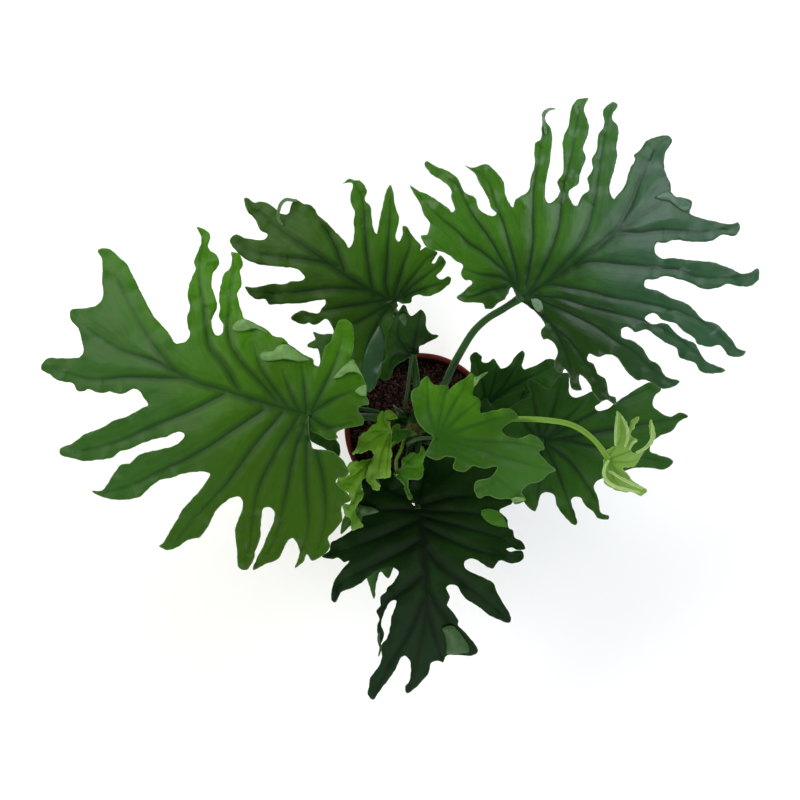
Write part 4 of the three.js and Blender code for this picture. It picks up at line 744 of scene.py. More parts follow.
# Fresh stalk: smooth and satin, with fine paler lines along it 1 mm apart and a browner foot.
def makeStalkSkin(name, base, line, foot):
    material, add, here = startMaterial(name)
    around = add("ShaderNodeAttribute", {"attribute_name": "stalkAround"}).outputs["Fac"]
    along = add("ShaderNodeAttribute", {"attribute_name": "stalkAlong"}).outputs["Fac"]
    lines = add("ShaderNodeCombineXYZ", {0: around, 1: along})
    spread = add("ShaderNodeMapping", {"Vector": lines, "Scale": (22.0, 12.0, 1.0)})
    streak = add("ShaderNodeTexNoise", {"Vector": spread, "Scale": 1.0, "Detail": 2.0})
    flecks = add("ShaderNodeTexNoise", {"Vector": here, "Scale": 1 / (2.5 * mm), "Detail": 2.0})
    mix = {"data_type": "RGBA"}
    lined = add("ShaderNodeMapRange", {0: streak, 1: 0.35, 2: 0.7, 4: 0.55})
    skin = add("ShaderNodeMix", {**mix, 0: lined, 6: srgb(base), 7: srgb(line)})
    dotted = add("ShaderNodeMapRange", {0: flecks, 1: 0.62, 2: 0.72, 4: 0.3})
    skin = add("ShaderNodeMix", {**mix, 0: dotted, 6: skin, 7: srgb(line)})
    browned = add("ShaderNodeMapRange", {0: along, 1: 0.0, 2: 22 * mm, 3: 0.6, 4: 0.0})
    skin = add("ShaderNodeMix", {**mix, 0: browned, 6: skin, 7: srgb(foot)})
    bump = add("ShaderNodeBump", {"Strength": 0.35, "Distance": 0.3 * mm, "Height": streak})
    face = add("ShaderNodeBsdfPrincipled",
               {"Base Color": skin, "Normal": bump, "IOR": 1.42, "Roughness": 0.42,
                "Specular IOR Level": 0.18,
                "Subsurface Weight": 0.08, "Subsurface Scale": 2 * mm})
    add("ShaderNodeOutputMaterial", {"Surface": face})
    return material


# Moulded polypropylene: even satin red-brown with faint flow marks, lighter where dust lies.
def makePotPlastic():
    material, add, here = startMaterial("mouldedPotPlastic")
    dust = add("ShaderNodeTexNoise", {"Vector": here, "Scale": 1 / (9 * mm), "Detail": 4.0})
    flow = add("ShaderNodeTexNoise", {"Vector": here, "Scale": 1 / (40 * mm), "Detail": 2.0})
    grain = add("ShaderNodeTexNoise", {"Vector": here, "Scale": 1 / (0.5 * mm), "Detail": 2.0})
    mix = {"data_type": "RGBA"}
    skin = add("ShaderNodeMix", {**mix, 0: flow, 6: srgb("#4a100a"), 7: srgb("#5e1b11")})
    dusty = add("ShaderNodeMapRange", {0: dust, 1: 0.55, 2: 0.8, 4: 0.15})
    skin = add("ShaderNodeMix", {**mix, 0: dusty, 6: skin, 7: srgb("#7a4c40")})
    dull = add("ShaderNodeMapRange", {0: dust, 1: 0.35, 2: 0.75, 3: 0.38, 4: 0.6})
    bump = add("ShaderNodeBump", {"Strength": 0.25, "Distance": 0.1 * mm, "Height": grain})
    face = add("ShaderNodeBsdfPrincipled",
               {"Base Color": skin, "Roughness": dull, "Normal": bump, "IOR": 1.49,
                "Specular IOR Level": 0.25})
    add("ShaderNodeOutputMaterial", {"Surface": face})
    return material


# Natural fibrous stuff: matt, with two tones in patches, paler flecks and a rough surface. size is
# the patches' width in mm and stretch draws them out along Z.
def makeRoughSkin(name, dark, light, fleck, size, stretch=1.0, roughness=0.9):
    material, add, here = startMaterial(name)
    drawn = add("ShaderNodeMapping", {"Vector": here, "Scale": (1.0, 1.0, stretch)})
    broad = add("ShaderNodeTexNoise", {"Vector": drawn, "Scale": 1 / (size * mm), "Detail": 3.0,
                                       "Roughness": 0.6})
    fine = add("ShaderNodeTexNoise", {"Vector": drawn, "Scale": 4 / (size * mm), "Detail": 4.0,
                                      "Roughness": 0.7})
    mix = {"data_type": "RGBA"}
    tone = add("ShaderNodeMapRange", {0: broad, 1: 0.38, 2: 0.62})
    skin = add("ShaderNodeMix", {**mix, 0: tone, 6: srgb(dark), 7: srgb(light)})
    dotted = add("ShaderNodeMapRange", {0: fine, 1: 0.56, 2: 0.76, 4: 0.55})
    skin = add("ShaderNodeMix", {**mix, 0: dotted, 6: skin, 7: srgb(fleck)})
    bump = add("ShaderNodeBump", {"Strength": 0.8, "Distance": 0.5 * mm, "Height": fine})
    face = add("ShaderNodeBsdfPrincipled",
               {"Base Color": skin, "Roughness": roughness, "Normal": bump, "IOR": 1.4,
                "Specular IOR Level": 0.25})
    add("ShaderNodeOutputMaterial", {"Surface": face})
    return material


def place(u, v, rise):
    # Drawn points at heights above the rim, as points of the model in metres
    u, v, rise = np.broadcast_arrays(*[np.asarray(n, float) for n in (u, v, rise)])
    scale = unit * (layout["eyeHeight"] - rise) / layout["eyeHeight"]
    eye, pot = layout["eyePoint"], layout["potPoint"]
    x = (eye[0] - pot[0]) * unit + (u - eye[0]) * scale
    y = (pot[1] - eye[1]) * unit - (v - eye[1]) * scale
    return np.stack([x, y, layout["potHeight"] + rise], axis=-1) * mm


def pairs(numbers):
    return np.asarray(numbers, float).reshape(-1, 2)


def smoothLine(points, step, closed=False):
    # A curve through the points, sampled about every step, that doesn't overshoot at corners
    points = np.asarray(points, float)
    if closed:
        around = np.vstack([points[-1:], points, points[:2]])
    else:
        around = np.vstack([2 * points[:1] - points[1:2], points, 2 * points[-1:] - points[-2:-1]])
    found = []
    for before, start, end, after in zip(around, around[1:], around[2:], around[3:]):
        length = np.linalg.norm(end - start)
        count = max(1, math.ceil(length / step))
        gaps = [max(np.linalg.norm(b - a), 1e-6) ** 0.5
                for a, b in ((before, start), (start, end), (end, after))]
        leave = end - start + gaps[1] * ((start - before) / gaps[0]
                                         - (end - before) / (gaps[0] + gaps[1]))
        arrive = end - start + gaps[1] * ((after - end) / gaps[2]
                                          - (after - start) / (gaps[1] + gaps[2]))
        t = (np.arange(count) / count)[:, None]
        found.append((2 * t**3 - 3 * t**2 + 1) * start + (t**3 - 2 * t**2 + t) * leave
                     + (3 * t**2 - 2 * t**3) * end + (t**3 - t**2) * arrive)
    if not closed:
        found.append(points[-1:])
    return np.vstack(found)


def evenLine(points, count):
    # The same line with count points at even distances
    points = np.asarray(points, float)
    run = np.concatenate([[0], np.cumsum(np.linalg.norm(np.diff(points, axis=0), axis=1))])
    wanted = np.linspace(0, run[-1], count)
    return np.stack([np.interp(wanted, run, points[:, k]) for k in range(points.shape[1])], axis=-1)


def insideLoop(points, loop):
    ends = np.roll(loop, -1, axis=0)
    inside = np.zeros(len(points), bool)
    for (ax, ay), (bx, by) in zip(loop, ends):
        if ay == by:
            continue
        crosses = (ay > points[:, 1]) != (by > points[:, 1])
        inside ^= crosses & (points[:, 0] < (bx - ax) * (points[:, 1] - ay) / (by - ay) + ax)
    return inside


def nearest(points, starts, ends):
    # For each point: distance to the nearest segment, that segment, and how far along it
    distances, rows, shares = [], [], []
    run = ends - starts
    squared = np.maximum((run ** 2).sum(1), 1e-12)
    for low in range(0, len(points), 1500):
        part = points[low:low + 1500, None, :]
        share = np.clip(((part - starts) * run).sum(2) / squared, 0, 1)
        gap = np.linalg.norm(part - (starts + share[..., None] * run), axis=2)
        row = gap.argmin(1)
        pick = np.arange(len(row))
        distances.append(gap[pick, row])
        rows.append(row)
        shares.append(share[pick, row])
    return np.concatenate(distances), np.concatenate(rows), np.concatenate(shares)


def smoothStep(values, low, high):
    t = np.clip((values - low) / (high - low), 0, 1)
    return t * t * (3 - 2 * t)


# A blade's relief in mm: the lengths of its margin's waves and how far in they reach, how far a
# vein's pleat reaches, how wide two veins' pleats run into each other, and the blade's thickness
relief = {
    "waves": (26, 41),
    "waveReach": 9.0,
    "pleatReach": 10.0,
    "blend": 1.6,
    "wall": 0.6,
}


class Blade:
    # One leaf's margin, veins and height, in drawing units with the second axis upwards

    def __init__(self, name):
        form = leafForms[name]
        self.form = form
        self.loop = smoothLine(pairs(sum(outlines[name], [])) * (1, -1), 1.3, closed=True)
        ends = np.roll(self.loop, -1, axis=0)
        if (self.loop[:, 0] * ends[:, 1] - ends[:, 0] * self.loop[:, 1]).sum() < 0:
            self.loop = self.loop[::-1].copy()
        self.seed = 3.7 * (sorted(leafForms).index(name) + 1)
        heading = np.roll(self.loop, -1, axis=0) - np.roll(self.loop, 1, axis=0)
        heading /= np.linalg.norm(heading, axis=1)[:, None]
        frill = np.array([noise.noise(Vector((x * 0.22, y * 0.22, self.seed))) for x, y in self.loop])
        teeth = np.array([noise.noise(Vector((x * 0.6, y * 0.6, self.seed))) for x, y in self.loop])
        frill = 1.3 * frill + 0.9 * teeth if form["vein"] < 0.8 else 0.6 * frill
        self.loop += np.stack([heading[:, 1], -heading[:, 0]], 1) * frill[:, None]
        self.loopEnds = np.roll(self.loop, -1, axis=0)
        steps = np.linalg.norm(self.loopEnds - self.loop, axis=1)
        self.around = np.concatenate([[0], np.cumsum(steps)])
        self.veinLines = [smoothLine(pairs(line) * (1, -1), 2.4) for line in veins[name]]
        self.joint = np.array([form["joint"][0], -form["joint"][1]], float)
        self.axis = np.array([form["tip"][0], -form["tip"][1]], float) - self.joint
        self.length = np.linalg.norm(self.axis)
        self.axis /= self.length

    def rise(self, points):
        # Plain height above the rim, the same as the frame's own solid
        form = self.form
        offset = (points - self.joint) / self.length
        s = offset @ self.axis
        t = offset[:, 1] * self.axis[0] - offset[:, 0] * self.axis[1]
        height = (form["rise"] + form["along"] * s + form["bend"] * s**2
                  + form["roll"] * t + form["cup"] * t**2)
        return height, s, t

    def surface(self, points):
        # Height with ripples, pleats and sunken veins, and what the material reads
        form = self.form
        rise, s, t = self.rise(points)
        gaps, runs, widths, strengths = [], [], [], []
        for number, line in enumerate(self.veinLines):
            gap, row, share = nearest(points, line[:-1], line[1:])
            run = (row + share) / (len(line) - 1)
            size = np.linalg.norm(np.diff(line, axis=0), axis=1).sum()
            start = np.linalg.norm(line[0] - self.joint)
            gaps.append(gap * unit)
            runs.append((start + run * size) * unit)
            widths.append(form["vein"] * (1.3 if number == 0 else 0.9) * (1 - 0.6 * run))
            strengths.append(1 - 0.65 * smoothStep(run, 0.35, 1.0))
        gaps = np.array(gaps)
        closest = gaps.min(0)
        pull = np.exp(-(gaps - closest) / relief["blend"])
        distance = np.maximum(closest - relief["blend"] * np.log(pull.sum(0)), 0) + 0.2 * closest
        pull /= pull.sum(0)
        width = (pull * widths).sum(0)
        strength = (pull * strengths).sum(0)
        edge, side, edgeShare = nearest(points, self.loop, self.loopEnds)
        edge = edge * unit
        total = self.around[-1]
        run = (self.around[side] + edgeShare * (self.around[side + 1] - self.around[side])) / total
        waves = [max(3, round(total * unit / size)) for size in relief["waves"]]
        ripple = (0.6 * np.sin(2 * np.pi * waves[0] * run + self.seed)
                  + 0.5 * np.sin(2 * np.pi * waves[1] * run + 2 * self.seed))
        pleat = strength * (1 - np.exp(-(np.sqrt(distance**2 + 2.2) - 1.5) / relief["pleatReach"]))
        roll = np.array([noise.noise(Vector((x * 0.026, y * 0.026, self.seed))) for x, y in points])
        fine = np.array([noise.noise(Vector((x * 0.1, y * 0.1, self.seed))) for x, y in points])
        height = (rise + 1.1 * form["bulge"] * pleat
                  + form["ripple"] * ripple * np.exp(-edge / relief["waveReach"])
                  + 1.0 * form["bulge"] * roll + 0.12 * form["bulge"] * fine)
        facts = {
            "veinDistance": closest,
            "veinWidth": width,
            "veinAlong": (pull * runs).sum(0),
            "veinStrength": strength,
            "edgeDistance": edge,
            "tone": smoothStep(s, -0.1, 1.0),
            # Painted shade by the joint, fading over about a sixth of the leaf's length
            "heart": np.exp(-(s**2 + t**2) / 0.03),
            # Painted light: one side painted as if lit through from behind, less towards the tips
            "glow": np.clip(0.4 + form["lean"] * t - 0.8 * np.maximum(s - 0.35, 0), -0.5, 0.85),
        }
        return height, facts


def bladeSheet(blade, grid):
    # Triangles that fill the margin, with rows of corners along the veins and beside them
    low, high = blade.loop.min(0), blade.loop.max(0)
    across = np.arange(low[0], high[0], grid)
    rows = np.arange(low[1], high[1], grid * 0.87)
    filling = np.vstack([np.stack([across + (k % 2) * grid / 2, np.full(len(across), y)], 1)
                         for k, y in enumerate(rows)])
    lines = [evenLine(line, max(3, int(len(line) * 1.7))) for line in blade.veinLines]
    starts = np.vstack([line[:-1] for line in blade.veinLines])
    ends = np.vstack([line[1:] for line in blade.veinLines])
    beside = [1.1, 2.5]
    kept = {}
    for offset in (0.0, *beside):
        for line in lines:
            heading = np.gradient(line, axis=0)
            heading /= np.maximum(np.linalg.norm(heading, axis=1), 1e-9)[:, None]
            normal = np.stack([-heading[:, 1], heading[:, 0]], 1)
            rails = np.vstack([line + normal * offset, line - normal * offset]) if offset else line
            if offset:
                rails = rails[nearest(rails, starts, ends)[0] > 0.9 * offset]
            for point in rails:
                kept.setdefault((round(point[0] / 1.0), round(point[1] / 1.0)), point)
    spine = np.array(list(kept.values()))
    spine = spine[insideLoop(spine, blade.loop)]
    spine = spine[nearest(spine, blade.loop, blade.loopEnds)[0] > 0.6]
    filling = filling[insideLoop(filling, blade.loop)]
    filling = filling[nearest(filling, blade.loop, blade.loopEnds)[0] > 0.5 * grid]
    filling = filling[nearest(filling, starts, ends)[0] > beside[-1] + 0.5 * grid]
    corners = np.vstack([blade.loop, spine, filling])
    found = delaunay_2d_cdt([Vector(p) for p in corners], [], [list(range(len(blade.loop)))], 1, 1e-4)
    return np.array([tuple(p) for p in found[0]]), [tuple(face) for face in found[2]]


def faceUp(points, faces):
    # The same faces, turned so that they point upwards
    a, b, c = (points[[face[k] for face in faces]] for k in range(3))
    turn = ((b - a)[:, 0] * (c - a)[:, 1] - (b - a)[:, 1] * (c - a)[:, 0]).sum()
    return faces if turn > 0 else [face[::-1] for face in faces]


def foldSheet(blade, fold, columns=26, rows=8):
    # A crowned flap between its two edges
    upper = evenLine(smoothLine(pairs(fold["upper"]) * (1, -1), 1.0), columns)
    lower = evenLine(smoothLine(pairs(fold["lower"]) * (1, -1), 1.0), columns)
    taper = 0.35 + 0.65 * np.sin(np.pi * np.linspace(0.06, 0.94, columns)) ** 0.6
    points, lifts = [], []
    for share in np.linspace(0, 1, rows):
        points.append(upper + (lower - upper) * share)
        crown = math.sin(math.pi * (0.1 + 0.78 * share)) ** 0.8
        wave = 0.12 * np.sin(np.linspace(0, 11, columns) + 2 * share)
        lifts.append(fold["lift"] * taper * (crown + wave) + 0.5)
    faces = [(r * columns + c + 1, r * columns + c, (r + 1) * columns + c, (r + 1) * columns + c + 1)
             for r in range(rows - 1) for c in range(columns - 1)]
    points = np.vstack(points)
    return points, np.concatenate(lifts), faceUp(points, faces)


def curlSheet(blade, curl, columns=5):
    # A narrow ribbon with a hollow face, tapering to its end
    line = smoothLine(np.array(curl["path"], float) * (1, -1, 1), 1.4)
    count = len(line)
    heading = np.gradient(line[:, :2], axis=0)
    heading /= np.maximum(np.linalg.norm(heading, axis=1), 1e-6)[:, None]
    across = np.stack([-heading[:, 1], heading[:, 0]], 1)
    taper = np.sin(np.pi * np.linspace(0.12, 0.97, count)) ** 0.5
    points, lifts = [], []
    for share in np.linspace(-1, 1, columns):
        half = 0.5 * curl["width"] / unit * taper
        points.append(line[:, :2] + across * (share * half)[:, None])
        lifts.append(line[:, 2] + 0.9 * share**2 * taper + 0.6)
    faces = [(c * count + r, c * count + r + 1, (c + 1) * count + r + 1, (c + 1) * count + r)
             for c in range(columns - 1) for r in range(count - 1)]
    points = np.vstack(points)
    return points, np.concatenate(lifts), faceUp(points, faces)


def meshFrom(name, corners, faces, facts=None, marks=None):
    mesh = bpy.data.meshes.new(name)
    mesh.from_pydata([tuple(p) for p in corners], [], faces)
    for key, values in (facts or {}).items():
        layer = mesh.attributes.new(key, "FLOAT", "POINT")
        layer.data.foreach_set("value", np.asarray(values, np.float32))
    if marks is not None:
        mesh.polygons.foreach_set("material_index", marks)
    mesh.polygons.foreach_set("use_smooth", [True] * len(mesh.polygons))
    mesh.update()
    return mesh


def addObject(name, mesh):
    piece = bpy.data.objects.new(name, mesh)
    bpy.context.scene.collection.objects.link(piece)
    return piece


def bakeModifiers(piece):
    # The evaluated result becomes the object's own plain mesh
    view = bpy.context.evaluated_depsgraph_get()
    mesh = bpy.data.meshes.new_from_object(piece.evaluated_get(view), depsgraph=view)
    materials = [m for m in piece.data.materials] if hasattr(piece.data, "materials") else []
    piece.modifiers.clear()
    piece.data = mesh
    if not mesh.materials:
        for material in materials:
            mesh.materials.append(material)
    mesh.polygons.foreach_set("use_smooth", [True] * len(mesh.polygons))
    return piece


def makeLeaf(name, skins):
    # skins holds each finish's top and underside
    form = leafForms[name]
    blade = Blade(name)
    points, faces = bladeSheet(blade, 1.6 if form["vein"] < 1.5 else 2.3)
    rise, facts = blade.surface(points)
    slots = [*skins[form["finish"]], skins[form["finish"]][0]]
    marks = [0] * len(faces)
    extras = [(foldSheet(blade, fold), fold.get("finish")) for fold in folds.get(name, [])]
    extras += [(curlSheet(blade, curl), None) for curl in curls.get(name, [])]
    for (more, lifts, moreFaces), finish in extras:
        base, moreFacts = blade.surface(more)
        moreFacts["veinDistance"] = np.full(len(more), 9.0)
        moreFacts["edgeDistance"] = np.full(len(more), 4.0)
        if finish:
            slots += skins[finish]
        start = len(points)
        points = np.vstack([points, more])
        rise = np.concatenate([rise, base + lifts])
        facts = {key: np.concatenate([facts[key], moreFacts[key]]) for key in facts}
        faces += [tuple(index + start for index in face) for face in moreFaces]
        marks += [len(slots) - 2 if finish else 1] * len(moreFaces)
    mesh = meshFrom(f"leaf_{name}", place(points[:, 0], -points[:, 1], rise), faces, facts, marks)
    for skin in slots:
        mesh.materials.append(skin)
    piece = addObject(f"leafBlade_{name}", mesh)
    wall = piece.modifiers.new("thickness", "SOLIDIFY")
    wall.thickness = relief["wall"] * mm
    wall.offset = -1
    wall.material_offset = 1
    wall.material_offset_rim = 0
    bakeModifiers(piece)
    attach(piece, "root")
    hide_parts(f"leaf_{name}")
    return piece


def sweepTree():
    # A line becomes a tapering round stalk: swollen foot, slim neck, slight knuckle at the end
    tree = bpy.data.node_groups.new("stalkSweep", "GeometryNodeTree")
    add = partial(addNode, tree)
    face = tree.interface
    for name, kind in (("Geometry", "Geometry"), ("Radius", "Float"), ("Foot Swell", "Float"),
                       ("Foot Length", "Float"), ("Sides", "Int"), ("Skin", "Material")):
        face.new_socket(name, in_out="INPUT", socket_type="NodeSocket" + kind)
    face.new_socket("Geometry", in_out="OUTPUT", socket_type="NodeSocketGeometry")
    given = add("NodeGroupInput", {}).outputs
    line = add("GeometryNodeMeshToCurve", {"Mesh": given["Geometry"]})
    spline = add("GeometryNodeSplineParameter", {}).outputs
    foot = add("ShaderNodeMapRange",
               {"interpolation_type": "SMOOTHSTEP", 0: spline["Length"], 1: 0.0,
                2: given["Foot Length"], 3: given["Foot Swell"], 4: 1.0})
    slim = add("ShaderNodeMapRange", {0: spline["Factor"], 1: 0.0, 2: 1.0, 3: 1.06, 4: 0.86})
    knuckle = add("ShaderNodeMapRange",
                  {"interpolation_type": "SMOOTHSTEP", 0: spline["Factor"], 1: 0.93, 2: 0.985,
                   3: 1.0, 4: 1.2})
    wobble = add("ShaderNodeTexNoise", {"Scale": 60.0, "Detail": 1.0})
    uneven = add("ShaderNodeMapRange", {0: wobble, 1: 0.0, 2: 1.0, 3: 0.94, 4: 1.06})
    size = given["Radius"]
    for share in (foot, slim, knuckle, uneven):
        size = add("ShaderNodeMath", {"operation": "MULTIPLY", 0: size, 1: share})
    marked = add("GeometryNodeStoreNamedAttribute",
                 {"data_type": "FLOAT", "domain": "POINT", "Geometry": line, "Name": "stalkAlong",
                  "Value": spline["Length"]})
    ring = add("GeometryNodeCurvePrimitiveCircle", {"Radius": 1.0, "Resolution": given["Sides"]})
    ringPlace = add("GeometryNodeSplineParameter", {}).outputs["Factor"]
    ringMarked = add("GeometryNodeStoreNamedAttribute",
                     {"data_type": "FLOAT", "domain": "POINT", "Geometry": ring,
                      "Name": "stalkAround", "Value": ringPlace})
    swept = add("GeometryNodeCurveToMesh",
                {"Curve": marked, "Profile Curve": ringMarked, "Scale": size, "Fill Caps": True})
    real = add("GeometryNodeRealizeInstances", {"Geometry": swept})
    skinned = add("GeometryNodeSetMaterial", {"Geometry": real, "Material": given["Skin"]})
    add("NodeGroupOutput", {"Geometry": skinned})
    return tree


def applyTree(piece, tree, values):
    # Inputs are set by their sockets' identifiers before the object is first evaluated
    modifier = piece.modifiers.new(tree.name, "NODES")
    modifier.node_group = tree
    for socket in tree.interface.items_tree:
        if socket.in_out == "INPUT" and socket.name in values:
            modifier[socket.identifier] = values[socket.name]
    return bakeModifiers(piece)


def stemAxis():
    return place(*layout["stemPoint"], 0.0)


def makeStalk(name, tree, skins):
    form = stalkForms[name]
    leaf = leafForms[name]
    blade = Blade(name)
    turn = math.radians(form["angle"])
    out = np.array([math.cos(turn), math.sin(turn), 0.0])
    foot = stemAxis() + out * (stemForm["radius"] - form["radius"]) * mm
    foot[2] = (layout["potHeight"] + form["root"]) * mm
    lead = foot + out * (2 * form["radius"] + 2) * mm + np.array([0, 0, 2 * mm])
    length = math.dist(leaf["joint"], leaf["tip"])
    inset = min(3, length / 10) / length
    u = leaf["joint"][0] + (leaf["tip"][0] - leaf["joint"][0]) * inset
    v = leaf["joint"][1] + (leaf["tip"][1] - leaf["joint"][1]) * inset
    top = blade.surface(np.array([[u, -v]]))[0][0]
    route = [place(*point) for point in form["route"]]
    line = smoothLine(np.vstack([foot, lead, *route, place(u, v, top - 0.5)]), 4 * mm)
    mesh = bpy.data.meshes.new(f"stalk_{name}")
    mesh.from_pydata([tuple(p) for p in line], [(i, i + 1) for i in range(len(line) - 1)], [])
    piece = addObject(f"leafStalk_{name}", mesh)
    applyTree(piece, tree, {"Radius": form["radius"] * mm, "Foot Swell": 1.45,
                            "Foot Length": 26 * mm, "Sides": 18, "Skin": skins[form["finish"]]})
    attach(piece, "root")
    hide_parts(f"stalk_{name}")
    return piece


def latheMesh(name, profile, sides, wobble=None):
    # A turned shape from radius and height pairs in mm; a radius of 0 closes it at the axis
    corners, faces, rings = [], [], []
    for radius, height in profile:
        start = len(corners)
        if radius == 0:
            corners.append((0.0, 0.0, height * mm))
            rings.append([start])
            continue
        for i in range(sides):
            turn = 2 * math.pi * i / sides
            r, z = wobble(radius, height, turn) if wobble else (radius, height)
            corners.append((r * math.cos(turn) * mm, r * math.sin(turn) * mm, z * mm))
        rings.append(list(range(start, start + sides)))
    for low, high in zip(rings, rings[1:]):
        for i in range(sides):
            j = (i + 1) % sides
            if len(low) == 1:
                faces.append((low[0], high[j], high[i]))
            elif len(high) == 1:
                faces.append((low[i], low[j], high[0]))
            else:
                faces.append((low[i], low[j], high[j], high[i]))
    return meshFrom(name, corners, faces)


potForm = {
    "baseRadius": 61.0,
    "wall": 1.8,
    "floor": 2.6,
    "collarDrop": 26.0,
    "lipWidth": 5.6,
    "drainCircle": 42.0,
    "drainRadius": 5.0,
    "drainHoles": 6,
}


def makePot(skin):
    top, rim = layout["potHeight"], layout["rimRadius"]
    base, wall, floor = potForm["baseRadius"], potForm["wall"], potForm["floor"]
    lip, collar = potForm["lipWidth"], potForm["collarDrop"]
    body = rim - lip + 1.2
    slope = (body - base) / (top - collar)
    inner = rim - lip
    outside = [(0, 1.2), (base - 9, 1.2), (base - 7, 0), (base - 1.2, 0), (base - 0.2, 0.6),
               (base + 0.1, 2)]
    outside += [(base + slope * h, h) for h in range(6, int(top - collar), 6)]
    outside += [(body - 0.2, top - collar - 1), (body + 0.2, top - collar), (body + 1.4, top - collar + 0.4),
                (body + 1.7, top - collar + 1.4), (body + 2.0, top - 14), (rim - 1.6, top - 12.6),
                (rim - 0.5, top - 12.4), (rim, top - 11.4)]
    lipRound = 2.6
    outside += [(rim, top - lipRound)]
    outside += [(rim - lipRound * (1 - math.cos(a)), top - lipRound * (1 - math.sin(a)))
                for a in np.linspace(0.2, math.pi / 2, 6)]
    outside += [(inner + lipRound * (1 - math.cos(a)), top - lipRound * (1 - math.sin(a)))
                for a in np.linspace(math.pi / 2, 0.2, 6)]
    inside = [(inner, top - lipRound), (inner, top - 12), (inner - 0.3, top - 13.4)]
    inside += [(base - wall + (inner - 0.4 - base + wall) * (h - floor) / (top - 14 - floor), h)
               for h in (top - 30, top - 70, top - 110)]
    inside += [(base - wall, floor), (0, floor)]
    mesh = latheMesh("pot", outside + inside, 128)
    piece = addObject("nurseryPot", mesh)
    mesh.materials.append(skin)
    cutters = bmesh.new()
    for i in range(potForm["drainHoles"]):
        turn = 2 * math.pi * i / potForm["drainHoles"]
        centre = Vector((math.cos(turn), math.sin(turn), 0)) * potForm["drainCircle"] * mm
        made = bmesh.ops.create_cone(cutters, cap_ends=True, segments=28,
                                     radius1=potForm["drainRadius"] * mm,
                                     radius2=potForm["drainRadius"] * mm, depth=20 * mm)
        bmesh.ops.translate(cutters, verts=made["verts"], vec=centre)
    cutterMesh = bpy.data.meshes.new("drainCutters")
    cutters.to_mesh(cutterMesh)
    cutters.free()
    cutter = addObject("drainCutters", cutterMesh)
    cut = piece.modifiers.new("drains", "BOOLEAN")
    cut.object = cutter
    cut.solver = "EXACT"
    bakeModifiers(piece)
    bpy.data.objects.remove(cutter)
    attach(piece, "root")
    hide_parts("pot")
    return piece


soilForm = {
    "depth": 12.0,
    "chips": 1500,
    "crumbs": 5200,
    "fibres": 90,
    "seed": 11,
    "sink": 1.0,
    "mound": 2.2,
    "lump": 1.5,
}


def scatterTree():
    # Irregular bits lying on a face: ico spheres, squashed and turned at random, then broken up
    tree = bpy.data.node_groups.new("soilScatter", "GeometryNodeTree")
    add = partial(addNode, tree)
    face = tree.interface
    for name, kind in (("Geometry", "Geometry"), ("Density", "Float"), ("Seed", "Int"),
                       ("Smallest", "Vector"), ("Largest", "Vector"), ("Turn", "Vector"),
                       ("Roughen", "Float"), ("Skin", "Material")):
        face.new_socket(name, in_out="INPUT", socket_type="NodeSocket" + kind)
    face.new_socket("Geometry", in_out="OUTPUT", socket_type="NodeSocketGeometry")
    given = add("NodeGroupInput", {}).outputs
    spots = add("GeometryNodeDistributePointsOnFaces",
                {"distribute_method": "RANDOM", "Mesh": given["Geometry"],
                 "Density": given["Density"], "Seed": given["Seed"]})
    bit = add("GeometryNodeMeshIcoSphere", {"Radius": 0.5, "Subdivisions": 1})
    spin = add("FunctionNodeRandomValue", {"data_type": "FLOAT_VECTOR", "Max": given["Turn"],
                                           "Seed": given["Seed"]})
    size = add("FunctionNodeRandomValue",
               {"data_type": "FLOAT_VECTOR", "Min": given["Smallest"], "Max": given["Largest"],
                "Seed": given["Seed"]})
    laid = add("GeometryNodeInstanceOnPoints",
               {"Points": spots, "Instance": bit, "Rotation": spin, "Scale": size})
    real = add("GeometryNodeRealizeInstances", {"Geometry": laid})
    rough = add("ShaderNodeTexNoise", {"Scale": 420.0, "Detail": 1.0}).outputs["Color"]
    shift = add("ShaderNodeVectorMath", {"operation": "SUBTRACT", 0: rough, 1: (0.5, 0.5, 0.5)})
    push = add("ShaderNodeVectorMath", {"operation": "SCALE", 0: shift, "Scale": given["Roughen"]})
    broken = add("GeometryNodeSetPosition", {"Geometry": real, "Offset": push})
    skinned = add("GeometryNodeSetMaterial", {"Geometry": broken, "Material": given["Skin"]})
    add("NodeGroupOutput", {"Geometry": skinned})
    return tree


